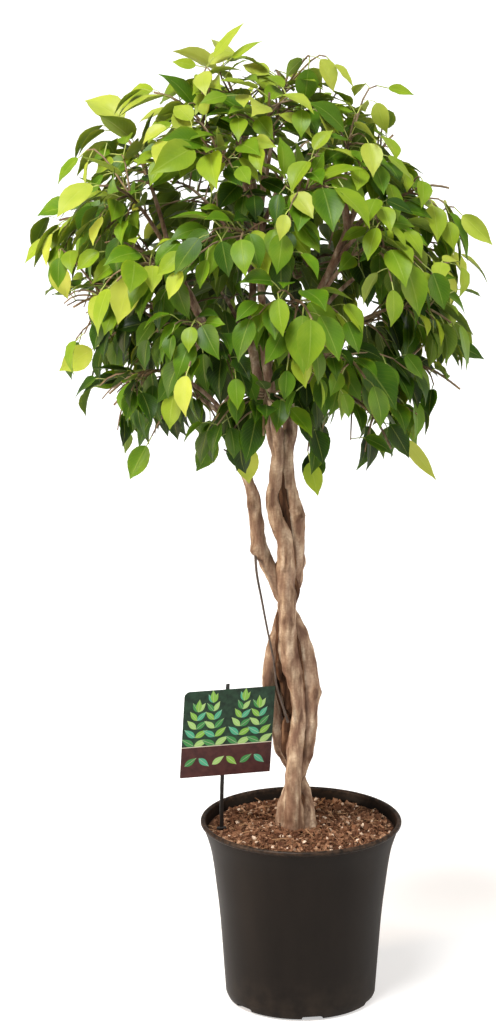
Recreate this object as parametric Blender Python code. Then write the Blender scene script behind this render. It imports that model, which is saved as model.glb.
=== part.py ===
"""Potted weeping fig: four young figs plaited into one trunk, with a round head of leaves.

Metres, +Z up. The origin is the centre of the pot's foot, and the front of the plant faces -Y.
The plant is grown by a rule: the stems follow routes placed by hand, each limb arches out of its
stem, and the outer part of each limb is a spray that carries alternate leaves.
"""

import itertools
import math
import random

import bmesh
import bpy
from mathutils import Matrix, Vector, noise
from mathutils.bvhtree import BVHTree

UP = Vector((0, 0, 1))
MM = 0.001
GAP = 0.3 * MM

# Pot: radius and height of the outer wall, from the foot to the rim
POT_OUTER = [
    (0.0720, 0.0000),
    (0.0765, 0.0018),
    (0.0787, 0.0065),
    (0.0845, 0.0880),
    (0.0886, 0.1250),
    (0.0918, 0.1500),
    (0.0954, 0.1690),
    (0.1010, 0.1860),
]
POT_HEIGHT = 0.1955
RIM_RADIUS = 0.105
RIM_BEAD = 0.0024
POT_WALL = 0.0018
POT_FLOOR = 0.0022
POT_SIDES = 32
NOTCHES = 6
NOTCH_WIDTH = 0.023
NOTCH_HEIGHT = 0.005
NOTCH_START = math.radians(-81)
NOTCH_INNER_RADIUS = 0.066
NOTCH_DEPTH = 0.030

# Potting mix
SOIL_TOP = 0.1835
SOIL_LUMPS = 0.0022
SOIL_LUMP_SCALE = 60
SOIL_MOUND = 0.004
SOIL_RINGS = 3
SOIL_MARGIN = 0.5 * MM
HOLE_CLEARANCE = 0.6 * MM

# Stems, in millimetres: x, y, z and radius, from the foot to the top of the leader
STEM_ROUTES = {
    "stem_front": [
        (-9, -5, 158, 9.0),
        (-9, -6, 195, 8.8),
        (-9, -9, 240, 8.0),
        (-6, -8, 280, 7.2),
        (-3, -6, 315, 6.2),
        (-8, -7, 348, 6.6),
        (-14, -9, 385, 7.8),
        (-16, -10, 433, 8.2),
        (-17, -8, 490, 7.0),
        (-26, -5, 522, 6.0),
        (-30, -3, 545, 5.4),
        (-26, -7, 582, 5.7),
        (-26, -12, 616, 5.2),
        (-33, -22, 660, 4.6),
        (-40, -30, 715, 3.9),
        (-42, -26, 775, 3.2),
        (-44, -12, 850, 2.4),
    ],
    "stem_left": [
        (-24, 9, 158, 7.2),
        (-20, 8, 200, 7.0),
        (-8, 7, 228, 6.9),
        (2, 6, 250, 6.8),
        (8, 3, 275, 6.7),
        (10, -1, 315, 6.8),
        (11, -1, 338, 7.4),
        (7, 1, 368, 6.8),
        (-3, 6, 402, 6.7),
        (-19, 7, 432, 6.5),
        (-32, 2, 462, 6.3),
        (-44, -3, 492, 7.0),
        (-48, -4, 520, 5.6),
        (-54, -4, 558, 5.3),
        (-66, -8, 600, 4.9),
        (-78, -12, 662, 4.3),
        (-104, -15, 735, 3.6),
        (-138, -6, 800, 2.6),
    ],
    "stem_right": [
        (13, -5, 158, 7.6),
        (10, -3, 195, 7.2),
        (2, 8, 222, 6.8),
        (-10, 20, 244, 6.6),
        (-22, 9, 270, 6.6),
        (-28, 0, 304, 6.4),
        (-35, -3, 340, 5.9),
        (-30, 1, 380, 6.1),
        (-18, 17, 414, 6.3),
        (-6, 12, 448, 6.6),
        (-4, 0, 495, 6.9),
        (-6, 0, 520, 7.3),
        (-14, 3, 555, 6.3),
        (-18, 3, 585, 6.7),
        (-14, 4, 614, 7.2),
        (-7, 7, 653, 6.2),
        (4, 12, 716, 4.8),
        (34, 18, 790, 3.4),
        (52, 16, 835, 2.5),
    ],
    "stem_back": [
        (-10, 26, 158, 6.2),
        (-9, 28, 195, 5.8),
        (-7, 34, 240, 5.2),
        (-11, 24, 280, 5.1),
        (-18, 11, 315, 5.0),
        (-24, 10, 350, 5.0),
        (-22, 15, 382, 5.0),
        (-15, 31, 424, 5.0),
        (-17, 18, 470, 4.8),
        (-20, 9, 520, 4.4),
        (-22, 11, 555, 4.6),
        (-28, 17, 590, 4.8),
        (-40, 24, 635, 4.7),
        (-50, 50, 690, 4.2),
        (-50, 84, 755, 3.4),
        (-42, 100, 820, 2.5),
    ],
}
ROOT_ROUTE = [
    (-44, -12, 488, 1.3),
    (-47, -11, 470, 1.1),
    (-42, -11, 440, 1.0),
    (-35, -15, 403, 0.9),
    (-29, -13, 372, 0.9),
    (-26, -13, 345, 0.9),
    (-19, -16, 322, 1.0),
    (-14, -17, 306, 1.2),
]
STEM_STEP = 0.021
STEM_GAP = 1.2 * MM
SETTLE_ROUNDS = 50
BRAID_TOP = 0.64
LEADER_START = 0.58
ROOT_STEP = 0.016

# Head of leaves: an ellipsoid that the spray tips reach
HEAD_CENTRE = Vector((-0.041, 0.0, 0.779))
HEAD_REACH = Matrix.Diagonal((0.203, 0.190, 0.207))
HEAD_TOP_POWER = 1.65
HEAD_BASE_POWER = 2.5
HEAD_SEED = 11
LIMBS = 40
LOWEST_LIMB = -0.78
LIMB_RADIUS = 0.0026
JOINT_RADIUS = 0.0019
TIP_RADIUS = 0.0011
BARE_SHARE = 0.42
JOINT_GAP = 0.7 * MM
LIMB_TRIES = 80
LOWEST_FORK = 0.625
FORK_DROP = 0.075
WOOD_CLEARANCE = 0.0012

# Leaves
LEAVES_PER_SPRAY = 8
TIP_LEAF_SHARE = 0.98
FIRST_LEAF_SHARE = 0.06
LEAF_LENGTH = 0.050
LEAF_WIDTH = 0.033
LEAF_THICKNESS = 0.0011
LEAF_FOLD = 0.22
LEAF_ARCH = 0.16
LEAF_SIZES = (0.78, 1.16)
LEAF_DROOP = (0.75, 1.35)
CROWDED_SIZE = 0.86
CROWDED_TRY = 6
LEAF_TRIES = 18
LEAST_BEND = 0.2
LEAF_CLEARANCE = 0.0007
PETIOLE_LENGTH = 0.014
PETIOLE_RADIUS = 0.0006
BLADE_STATIONS = [(0.20, 0.44), (0.56, 0.42)]

# Label
STAKE_ROUTE = [(-85, -4, 150), (-83, -7, 184), (-82, -20, 249), (-76, -29, 351)]
STAKE_WIDTH = 0.004
STAKE_THICKNESS = 0.0016
FLANGE_SIZE = (0.010, 0.0036, 0.0030)
FLANGE_HEIGHT = 0.1875
CARD_SIZE = (0.098, 0.096)
CARD_CORNER = 0.006
CARD_THICKNESS = 0.0008
CARD_YAW = math.radians(18.4)
CARD_SHIFT = 0.0023
CARD_MIDDLE = 0.2985


def clear_scene():
    for obj in list(bpy.data.objects):
        bpy.data.objects.remove(obj, do_unlink=True)


def finish(name, colour, roughness, metallic=0.0):
    material = bpy.data.materials.new(name)
    material.use_nodes = True
    shader = material.node_tree.nodes["Principled BSDF"]
    shader.inputs["Base Color"].default_value = (*colour, 1)
    shader.inputs["Roughness"].default_value = roughness
    shader.inputs["Metallic"].default_value = metallic
    return material


def object_from(name, bm, material):
    """A mesh object from a bmesh, its doubles merged and its faces turned outwards."""
    bmesh.ops.remove_doubles(bm, verts=bm.verts, dist=1e-6)
    bmesh.ops.recalc_face_normals(bm, faces=bm.faces)
    mesh = bpy.data.meshes.new(name)
    bm.to_mesh(mesh)
    bm.free()
    mesh.materials.append(material)
    obj = bpy.data.objects.new(name, mesh)
    bpy.context.scene.collection.objects.link(obj)
    return obj


def combine(target, tools, operation):
    """Joins the tools to the target, or cuts them from it, in one Boolean on a collection."""
    group = bpy.data.collections.new("tools")
    bpy.context.scene.collection.children.link(group)
    for tool in tools:
        bpy.context.scene.collection.objects.unlink(tool)
        group.objects.link(tool)
    boolean = target.modifiers.new("combine", "BOOLEAN")
    boolean.operand_type = "COLLECTION"
    boolean.collection = group
    boolean.operation = operation
    bpy.context.view_layer.objects.active = target
    bpy.ops.object.modifier_apply(modifier=boolean.name)
    for tool in tools:
        bpy.data.objects.remove(tool, do_unlink=True)
    bpy.data.collections.remove(group)


def shade_round(obj, degrees=40):
    obj.data.shade_smooth()
    obj.data.set_sharp_from_angle(angle=math.radians(degrees))


def smooth_route(points, step):
    """A Catmull-Rom curve through hand-placed (x, y, z, radius) in mm, as (point, radius) in m."""
    rows = [[value * MM for value in row] for row in points]
    rows = [rows[0], *rows, rows[-1]]
    route = []
    for before, start, end, after in zip(rows, rows[1:], rows[2:], rows[3:]):
        count = max(1, round((Vector(end[:3]) - Vector(start[:3])).length / step))
        for k in range(count):
            t = k / count
            values = [
                0.5 * (2 * b + (c - a) * t + (2 * a - 5 * b + 4 * c - d) * t * t
                       + (3 * b - a - 3 * c + d) * t ** 3)
                for a, b, c, d in zip(before, start, end, after)
            ]
            route.append((Vector(values[:3]), values[3]))
    route.append((Vector(rows[-1][:3]), rows[-1][3]))
    return route


def nearest_on(route, point):
    """How far a point is from a route, the nearest place on it and the stem's radius there."""
    best = None
    for (a, ra), (b, rb) in zip(route, route[1:]):
        along = b - a
        t = min(1.0, max(0.0, (point - a).dot(along) / along.length_squared))
        place = a + along * t
        distance = (point - place).length
        if best is None or distance < best[0]:
            best = (distance, place, ra + (rb - ra) * t)
    return best


def push_apart(route, other, shifts, share):
    """Adds to the shifts of one stem whatever takes it clear of another."""
    for k, (near, far) in enumerate(zip(route, route[1:])):
        for between in (0.0, 0.5):
            point = near[0].lerp(far[0], between)
            distance, place, their_radius = nearest_on(other, point)
            lack = max(near[1], far[1]) + their_radius + STEM_GAP - distance
            if lack > 0 and point.z < BRAID_TOP:
                push = (point - place).normalized() * lack * share
                shifts[k] += push * (1 - between)
                shifts[k + 1] += push * between


def settle(routes, held=()):
    """Pushes stems that touch apart, a little at a time, as they do when they thicken together."""
    homes = {name: [point.copy() for point, _ in route] for name, route in routes.items()}
    for _ in range(SETTLE_ROUNDS):
        shifts = {name: [Vector() for _ in route] for name, route in routes.items()}
        for one, other in itertools.permutations(routes, 2):
            if one not in held:
                share = 0.7 if other in held else 0.35
                push_apart(routes[one], routes[other], shifts[one], share)
        for name, route in routes.items():
            moved = [p + s - h for (p, _), s, h in zip(route, shifts[name], homes[name])]
            for k, (_, radius) in enumerate(route):
                around = moved[max(k - 1, 0)] + moved[min(k + 1, len(moved) - 1)]
                eased = moved[k] * 0.8 + around * 0.1
                route[k] = (homes[name][k] + eased, radius)
    return routes


def tube(name, route, material, sides=2, swell=0.0):
    """A round, tapering stick along a route: a bevelled curve, made a closed mesh."""
    curve = bpy.data.curves.new(name, "CURVE")
    curve.dimensions = "3D"
    curve.bevel_depth = 1.0
    curve.bevel_resolution = sides
    curve.use_fill_caps = True
    spline = curve.splines.new("POLY")
    spline.points.add(len(route) - 1)
    for spot, (point, radius) in zip(spline.points, route):
        spot.co = (*point, 1)
        spot.radius = radius + swell
    guide = bpy.data.objects.new(name + "_guide", curve)
    bpy.context.scene.collection.objects.link(guide)
    bpy.context.view_layer.update()
    graph = bpy.context.evaluated_depsgraph_get()
    mesh = bpy.data.meshes.new_from_object(guide.evaluated_get(graph))
    bpy.data.objects.remove(guide, do_unlink=True)
    bm = bmesh.new()
    bm.from_mesh(mesh)
    bpy.data.meshes.remove(mesh)
    return object_from(name, bm, material)


def bezier(points, count, start=0.0, end=1.0):
    """Places along part of a Bezier curve with four control points."""
    a, b, c, d = points
    places = []
    for k in range(count):
        t = start + (end - start) * k / (count - 1)
        s = 1 - t
        places.append(a * s ** 3 + b * 3 * s * s * t + c * 3 * s * t * t + d * t ** 3)
    return places


def head_directions():
    """Directions spread evenly over the head, leaving out the bottom where the trunk enters."""
    golden = math.pi * (3 - math.sqrt(5))
    directions = []
    for k in range(LIMBS):
        z = 1 - (1 - LOWEST_LIMB) * (k + 0.5) / LIMBS
        power = HEAD_TOP_POWER if z > 0 else HEAD_BASE_POWER
        ring = (1 - abs(z) ** power) ** (1 / power)
        directions.append(Vector((ring * math.cos(golden * k), ring * math.sin(golden * k), z)))
    return directions


def limb_curve(leader, tip, outward, wander):
    """Control points of one limb: out of the leader, up, and over to its tip."""
    fork = tip.z - FORK_DROP * (1 + 0.6 * outward.z)
    height = min(max(fork, LOWEST_FORK), leader[-1][0].z - 0.01)
    start = min(leader, key=lambda spot: abs(spot[0].z - height))[0]
    length = (tip - start).length
    out = (tip - start).normalized()
    rise = UP * length * (0.30 - 0.12 * outward.z)
    first = start + out * length * 0.30 + rise * 0.7 + wander * 0.6
    second = tip - out * length * 0.30 + rise + wander
    return [start, first, second, tip]


def spots_on(route, steps=4):
    """Close-set places along a stick, for testing how near another one comes."""
    spots = []
    for (a, ra), (b, rb) in zip(route, route[1:]):
        spots += [(a.lerp(b, k / steps), ra + (rb - ra) * k / steps) for k in range(steps)]
    return spots + [route[-1]]


def clear_of(stick, others):
    """True where a stick keeps clear of every other stick in the list."""
    for point, radius in spots_on(stick):
        for route in others:
            if nearest_on(route, point)[0] < radius + route[0][1] + WOOD_CLEARANCE:
                return False
    return True


def taper(places, start, end):
    """Places with a radius that runs evenly from the first to the last."""
    count = len(places) - 1
    return [(place, start + (end - start) * k / count) for k, place in enumerate(places)]


def grow_limbs(routes, rng):
    """One limb for each direction, from the nearest leader, bent until it is clear of the rest."""
    limbs = []
    leaders = {name: [spot for spot in route if spot[0].z > LEADER_START]
               for name, route in routes.items()}
    for outward in head_directions():
        tip = HEAD_CENTRE + HEAD_REACH @ outward * rng.uniform(0.90, 1.10)
        for attempt in range(LIMB_TRIES):
            loose = 0.006 + 0.045 * attempt / LIMB_TRIES
            wander = Vector(rng.uniform(-loose, loose) for _ in range(3))
            order = sorted(routes, key=lambda name: nearest_on(routes[name], tip)[0])
            stem = order[0] if attempt < LIMB_TRIES // 2 else order[1]
            points = limb_curve(routes[stem], tip, outward, wander)
            bare = taper(bezier(points, 3, 0.0, BARE_SHARE), LIMB_RADIUS, JOINT_RADIUS)
            leafy = taper(bezier(points, 5, BARE_SHARE, 1.0), JOINT_RADIUS, TIP_RADIUS)
            gap = (leafy[1][0] - leafy[0][0]).normalized() * JOINT_GAP
            leafy[0] = (leafy[0][0] + gap, JOINT_RADIUS)
            foreign_wood = [leaders[name] for name in leaders if name != stem]
            foreign_wood += [limb["bare"] for limb in limbs if limb["stem"] != stem]
            own_wood = [leaders[stem]] + [limb["bare"] for limb in limbs if limb["stem"] == stem]
            sprays = [limb["leafy"] for limb in limbs]
            if clear_of(bare, foreign_wood + sprays) and clear_of(leafy, foreign_wood + own_wood
                                                                  + sprays):
                limbs.append({"stem": stem, "bare": bare, "leafy": leafy})
                break
    return limbs


def blade_frame(direction, normal):
    """Directions across a leaf and out of its upper face."""
    side = direction.cross(normal).normalized()
    return side, side.cross(direction).normalized()


def leaf_mesh(leaf, swell=0.0):
    """Points and faces of one closed leaf: a three-sided petiole and a folded, arched blade."""
    side, up = blade_frame(leaf["direction"], leaf["normal"])
    stalk = PETIOLE_RADIUS + swell
    points = []
    for centre in (leaf["root"], leaf["base"]):
        points += [centre - side * stalk + up * stalk * 0.5,
                   centre + side * stalk + up * stalk * 0.5,
                   centre - up * stalk]
    faces = [(0, 1, 2), (0, 3, 4, 1), (1, 4, 5, 2), (2, 5, 3, 0)]
    rings = []
    for along, half in BLADE_STATIONS:
        rise = -leaf["length"] * leaf["arch"] * along ** 2
        middle = leaf["base"] + leaf["direction"] * leaf["length"] * along + up * rise
        reach = leaf["width"] * half + swell
        edge = up * reach * LEAF_FOLD
        first = len(points)
        points += [middle - side * reach + edge,
                   middle + up * swell,
                   middle + side * reach + edge,
                   middle - up * (LEAF_THICKNESS + swell)]
        rings.append((first, first + 1, first + 2, first + 3))
    left, top, right, under = rings[0]
    faces += [(3, left, top), (3, top, 4), (4, top, right),
              (3, 5, left), (5, under, left), (5, right, under), (5, 4, right)]
    for (l0, t0, r0, u0), (l1, t1, r1, u1) in zip(rings, rings[1:]):
        faces += [(l0, l1, t0), (l1, t1, t0), (t0, t1, r0), (t1, r1, r0),
                  (l0, u0, l1), (l1, u0, u1), (u0, r0, u1), (u1, r0, r1)]
    points.append(leaf["base"] + leaf["direction"] * (leaf["length"] + swell)
                  - up * leaf["length"] * leaf["arch"])
    tip = len(points) - 1
    left, top, right, under = rings[-1]
    faces += [(left, tip, top), (top, tip, right), (left, under, tip), (under, right, tip)]
    return points, faces


def leaf_on(limb, share, side_sign, rng, attempt):
    """One leaf at a share of the spray's length, hanging outwards, turned a bit at each retry."""
    leafy = limb["leafy"]
    place = share * (len(leafy) - 1)
    k = min(int(place), len(leafy) - 2)
    root = leafy[k][0].lerp(leafy[k + 1][0], place - k)
    forward = (leafy[k + 1][0] - leafy[k][0]).normalized()
    outward = (root - HEAD_CENTRE).normalized()
    across = forward.cross(outward).normalized() * side_sign
    loose = 0.28 + 0.05 * attempt
    stray = Vector(rng.uniform(-loose, loose) for _ in range(3))
    if share == TIP_LEAF_SHARE:
        across *= 0.1
    stalk = (forward * 0.50 + across * 0.85 + outward * 0.30 + stray).normalized()
    droop = rng.uniform(*LEAF_DROOP) * (1.0 - 0.65 * max(0.0, outward.z))
    direction = (forward * 0.40 + across * 0.45 + outward * 0.32 - UP * droop + stray).normalized()
    normal = (outward * 0.9 + UP * 0.5 + stray * 1.2).normalized()
    size = rng.uniform(*LEAF_SIZES) * (1.0 if attempt < CROWDED_TRY else CROWDED_SIZE)
    return {
        "root": root,
        "base": root + stalk * PETIOLE_LENGTH * rng.uniform(0.8, 1.15),
        "direction": direction,
        "normal": normal,
        "length": LEAF_LENGTH * size,
        "width": LEAF_WIDTH * size * rng.uniform(0.92, 1.06),
        "arch": LEAF_ARCH * rng.uniform(0.5, 1.3),
    }


def stick_tree(route):
    """A search tree of a stick, as a square tube a little wider than the wood."""
    points = []
    faces = []
    for place, radius in route:
        reach = radius + LEAF_CLEARANCE
        corners = ((reach, 0, 0), (0, reach, 0), (-reach, 0, 0), (0, -reach, 0), (0, 0, reach))
        points += [place + Vector(corner) for corner in corners]
    for first in range(0, len(points) - 5, 5):
        for k in range(4):
            a, b = first + k, first + (k + 1) % 4
            faces.append((a, b, b + 5, a + 5))
    return BVHTree.FromPolygons(points, faces)


def grow_leaves(routes, limbs, rng):
    """Leaves along every spray, a round at a time, each turned until it is clear of the rest."""
    wood = [(None, stick_tree([spot for spot in route if spot[0].z > 0.5]))
            for route in routes.values()]
    for number, limb in enumerate(limbs):
        wood.append((None, stick_tree(limb["bare"])))
        wood.append((number, stick_tree(limb["leafy"])))
        limb["leaves"] = []
    placed = []
    for turn in range(LEAVES_PER_SPRAY):
        back = turn / (LEAVES_PER_SPRAY - 1)
        share = TIP_LEAF_SHARE + (FIRST_LEAF_SHARE - TIP_LEAF_SHARE) * back
        for number, limb in enumerate(limbs):
            side_sign = 1 if (turn + number) % 2 else -1
            for attempt in range(LEAF_TRIES):
                leaf = leaf_on(limb, share, side_sign, rng, attempt)
                if (leaf["base"] - leaf["root"]).normalized().dot(leaf["direction"]) < LEAST_BEND:
                    continue
                points, faces = leaf_mesh(leaf, LEAF_CLEARANCE)
                tree = BVHTree.FromPolygons(points, faces)
                blade = BVHTree.FromPolygons(points, faces[4:])
                near = [other for centre, other in placed
                        if (centre - leaf["base"]).length < 2.6 * LEAF_LENGTH]
                if any(tree.overlap(other) for other in near):
                    continue
                if any((blade if owner == number else tree).overlap(other)
                       for owner, other in wood):
                    continue
                placed.append((leaf["base"], tree))
                limb["leaves"].append(leaf)
                break
    return len(placed)


def ring_of(bm, radius, height, sides):
    """A level circle of points."""
    turn = 2 * math.pi / sides
    return [bm.verts.new((radius * math.cos(turn * k), radius * math.sin(turn * k), height))
            for k in range(sides)]


def bridge(bm, lower, upper):
    """A band of faces between two rings of points."""
    count = len(lower)
    for k in range(count):
        bm.faces.new((lower[k], lower[(k + 1) % count], upper[(k + 1) % count], upper[k]))


def turned(name, profile, material, sides):
    """A turned solid from (radius, height) pairs that run round its section, closed on the axis."""
    bm = bmesh.new()
    rings = [ring_of(bm, radius, height, sides) for radius, height in profile]
    for lower, upper in zip(rings, rings[1:]):
        bridge(bm, lower, upper)
    bm.faces.new(rings[0])
    bm.faces.new(rings[-1])
    return object_from(name, bm, material)


def box(name, size, place, turn_z, material):
    """A block of a size at a place, turned about the vertical."""
    bm = bmesh.new()
    bmesh.ops.create_cube(bm, size=1.0)
    bmesh.ops.scale(bm, vec=size, verts=bm.verts)
    bmesh.ops.transform(bm, matrix=Matrix.Translation(place) @ Matrix.Rotation(turn_z, 4, "Z"),
                        verts=bm.verts)
    return object_from(name, bm, material)


def inner_radius(height):
    """Inside radius of the pot wall at a height."""
    pairs = list(zip(POT_OUTER[2:], POT_OUTER[3:]))
    for (r0, z0), (r1, z1) in pairs:
        if height <= z1:
            return r0 + (r1 - r0) * (height - z0) / (z1 - z0) - POT_WALL
    (r0, z0), (r1, z1) = pairs[-1]
    return r0 + (r1 - r0) * (height - z0) / (z1 - z0) - POT_WALL


def make_pot(material):
    """One moulding: tapered wall, flared collar, rolled rim, flat foot and six drainage notches."""
    rim_side = POT_HEIGHT - RIM_BEAD
    outer = [
        *POT_OUTER,
        (RIM_RADIUS - 0.0012, POT_HEIGHT - 2 * RIM_BEAD),
        (RIM_RADIUS, rim_side),
        (RIM_RADIUS - 0.0010, POT_HEIGHT - 0.0006),
        (RIM_RADIUS - 0.0026, POT_HEIGHT),
        (RIM_RADIUS - 0.0042, POT_HEIGHT - 0.0014),
    ]
    wall = [(radius - POT_WALL, height) for radius, height in reversed(POT_OUTER[3:])]
    floor = [(POT_OUTER[2][0] - POT_WALL, POT_OUTER[2][1]),
             (POT_OUTER[1][0] - POT_WALL, POT_FLOOR)]
    pot = turned("pot", outer + wall + floor, material, POT_SIDES)
    cutters = []
    for k in range(NOTCHES):
        angle = NOTCH_START + k * 2 * math.pi / NOTCHES
        middle = NOTCH_INNER_RADIUS + NOTCH_DEPTH / 2
        place = Vector((middle * math.cos(angle), middle * math.sin(angle), 0))
        size = (NOTCH_DEPTH, NOTCH_WIDTH, 2 * NOTCH_HEIGHT)
        cutters.append(box(f"notch_{k + 1}", size, place, angle, material))
    combine(pot, cutters, "DIFFERENCE")
    shade_round(pot)


def make_soil(routes, material):
    """The plug of potting mix, with a lumpy top and a plain hole for each stem and the stake."""
    foot_radius, foot_height = POT_OUTER[2]
    sides = [(foot_radius - POT_WALL - 0.0045, POT_FLOOR + GAP),
             (inner_radius(foot_height) - SOIL_MARGIN, foot_height + 0.001)]
    for height in [height for _, height in POT_OUTER[3:7]] + [SOIL_TOP - 0.001]:
        sides.append((inner_radius(height) - SOIL_MARGIN, height))
    bm = bmesh.new()
    rings = [ring_of(bm, radius, height, POT_SIDES) for radius, height in sides]
    bm.faces.new(rings[0])
    for k in range(SOIL_RINGS - 1, 0, -1):
        ring = ring_of(bm, sides[-1][0] * k / SOIL_RINGS, SOIL_TOP, POT_SIDES)
        for vert in ring:
            vert.co.z += SOIL_LUMPS * noise.noise(vert.co * SOIL_LUMP_SCALE)
            vert.co.z += SOIL_MOUND * (1 - k / SOIL_RINGS)
        rings.append(ring)
    for lower, upper in zip(rings, rings[1:]):
        bridge(bm, lower, upper)
    centre = bm.verts.new((0, 0, SOIL_TOP + SOIL_MOUND))
    for a, b in zip(rings[-1], rings[-1][1:] + rings[-1][:1]):
        bm.faces.new((a, b, centre))
    bmesh.ops.triangulate(bm, faces=[face for face in bm.faces if len(face.verts) == 4])
    soil = object_from("soil", bm, material)
    cutters = [stake_mesh("hole_stake", material, HOLE_CLEARANCE)]
    for name, route in routes.items():
        foot = [spot for spot in route if spot[0].z < SOIL_TOP + 0.06]
        below = (foot[0][0] - UP * HOLE_CLEARANCE, foot[0][1])
        cutters.append(tube("hole_" + name, [below, *foot], material, swell=HOLE_CLEARANCE))
    combine(soil, cutters, "DIFFERENCE")


def stake_axes(low, high):
    """Directions along, across and through the flat stake between two of its places."""
    along = (high - low).normalized()
    across = Vector((math.cos(CARD_YAW), math.sin(CARD_YAW), 0))
    across = (across - along * across.dot(along)).normalized()
    return along, across, along.cross(across)


def stake_mesh(name, material, swell=0.0):
    """The label's flat stake, which leans forward from its foot in the mix."""
    places = [Vector(row) * MM for row in STAKE_ROUTE]
    bm = bmesh.new()
    rings = []
    for k, place in enumerate(places):
        along, across, through = stake_axes(places[max(k - 1, 0)],
                                            places[min(k + 1, len(places) - 1)])
        if k == 0:
            place = place - along * swell
        width = across * (STAKE_WIDTH / 2 + swell)
        depth = through * (STAKE_THICKNESS / 2 + swell)
        corners = (place - width - depth, place + width - depth,
                   place + width + depth, place - width + depth)
        rings.append([bm.verts.new(corner) for corner in corners])
    for lower, upper in zip(rings, rings[1:]):
        bridge(bm, lower, upper)
    bm.faces.new(rings[0])
    bm.faces.new(rings[-1])
    return object_from(name, bm, material)


def make_stake(material):
    """The stake with the small flange that stops it at the mix."""
    stake = stake_mesh("label_stake", material)
    low, high = (Vector(row) * MM for row in STAKE_ROUTE[1:3])
    share = (FLANGE_HEIGHT - low.z) / (high.z - low.z)
    flange = box("flange", FLANGE_SIZE, low.lerp(high, share), CARD_YAW, material)
    combine(stake, [flange], "UNION")


def make_card(material):
    """The plain label card on the front of the stake, its top left corner rounded."""
    half_width, half_height = CARD_SIZE[0] / 2, CARD_SIZE[1] / 2
    outline = [(-half_width, -half_height), (half_width, -half_height), (half_width, half_height)]
    for k in range(4):
        angle = math.radians(90 + 30 * k)
        outline.append((CARD_CORNER * (1 + math.cos(angle)) - half_width,
                        CARD_CORNER * (math.sin(angle) - 1) + half_height))
    low, high = (Vector(row) * MM for row in STAKE_ROUTE[2:4])
    along, across, through = stake_axes(low, high)
    middle = low.lerp(high, (CARD_MIDDLE - low.z) / (high.z - low.z))
    back = middle + across * CARD_SHIFT - through * (STAKE_THICKNESS / 2 + GAP)
    bm = bmesh.new()
    face = bm.faces.new([bm.verts.new(back + across * x + along * y) for x, y in outline])
    front = bmesh.ops.extrude_face_region(bm, geom=[face])
    moved = [item for item in front["geom"] if isinstance(item, bmesh.types.BMVert)]
    bmesh.ops.translate(bm, vec=through * -CARD_THICKNESS, verts=moved)
    object_from("label_card", bm, material)


def make_stems(routes, limbs, material):
    """Each young fig: its stem, with its bare limbs joined on."""
    for name, route in routes.items():
        stem = tube(name, route, material)
        own = [tube(f"{name}_limb_{k}", limb["bare"], material, sides=0)
               for k, limb in enumerate(limbs) if limb["stem"] == name]
        combine(stem, own, "UNION")
        shade_round(stem)


def make_sprays(limbs, wood, green):
    """Each spray: its twig with all its leaves joined on."""
    for number, limb in enumerate(limbs):
        name = f"spray_{number + 1:02d}"
        twig = tube(name, limb["leafy"], wood, sides=0)
        leaves = []
        for k, leaf in enumerate(limb["leaves"]):
            points, faces = leaf_mesh(leaf)
            bm = bmesh.new()
            verts = [bm.verts.new(point) for point in points]
            for face in faces:
                bm.faces.new([verts[i] for i in face])
            leaves.append(object_from(f"{name}_leaf_{k}", bm, green))
        combine(twig, leaves, "UNION")


def main():
    clear_scene()
    plastic = finish("pot_plastic", (0.030, 0.026, 0.022), 0.5)
    mix = finish("potting_mix", (0.14, 0.062, 0.028), 0.95)
    bark = finish("bark", (0.42, 0.29, 0.18), 0.8)
    green = finish("leaf", (0.13, 0.33, 0.03), 0.35)
    stake_plastic = finish("stake_plastic", (0.015, 0.015, 0.015), 0.45)
    card_print = finish("card_print", (0.05, 0.12, 0.07), 0.4)

    routes = settle({name: smooth_route(rows, STEM_STEP) for name, rows in STEM_ROUTES.items()})
    root = settle({**routes, "aerial_root": smooth_route(ROOT_ROUTE, ROOT_STEP)},
                  held=tuple(routes))["aerial_root"]
    rng = random.Random(HEAD_SEED)
    limbs = grow_limbs(routes, rng)
    count = grow_leaves(routes, limbs, rng)

    make_pot(plastic)
    make_stake(stake_plastic)
    make_soil(routes, mix)
    make_card(card_print)
    make_stems(routes, limbs, bark)
    tube("aerial_root", root, bark, sides=0)
    make_sprays(limbs, bark, green)
    print(f"{len(limbs)} limbs, {count} leaves")


main()
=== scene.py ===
# %% [markdown]
# # Dressing a potted weeping fig
#
# The plain model of the plant comes first, as a fixed frame: the pot, the potting mix, four plaited
# stems, the label and forty leafy sprays. Each of them is right in size and place, but plain.
# This lesson builds the fine surfaces round that frame: bark with knots, mix with bark chips and
# perlite, a turned pot, and leaves with a drip tip, veins and a paler underside.

# %% Load the plain model as a fixed frame
import itertools
import math
import random

import bpy
import numpy as np
from mathutils import Matrix, Vector, noise
from mathutils.bvhtree import BVHTree
from mathutils.kdtree import KDTree


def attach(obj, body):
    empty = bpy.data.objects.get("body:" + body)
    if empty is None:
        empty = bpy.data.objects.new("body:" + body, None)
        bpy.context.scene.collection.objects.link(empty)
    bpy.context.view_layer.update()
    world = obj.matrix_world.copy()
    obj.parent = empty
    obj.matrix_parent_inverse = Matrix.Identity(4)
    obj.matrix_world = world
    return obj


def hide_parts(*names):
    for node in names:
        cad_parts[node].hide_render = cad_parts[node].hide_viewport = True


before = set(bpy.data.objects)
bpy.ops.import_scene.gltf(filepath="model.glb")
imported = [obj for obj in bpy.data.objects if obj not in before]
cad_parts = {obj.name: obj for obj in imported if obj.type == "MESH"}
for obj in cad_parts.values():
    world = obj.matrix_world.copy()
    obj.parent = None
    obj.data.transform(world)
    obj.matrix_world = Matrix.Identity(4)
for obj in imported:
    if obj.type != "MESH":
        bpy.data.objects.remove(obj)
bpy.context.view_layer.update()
UP = Vector((0, 0, 1))
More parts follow.
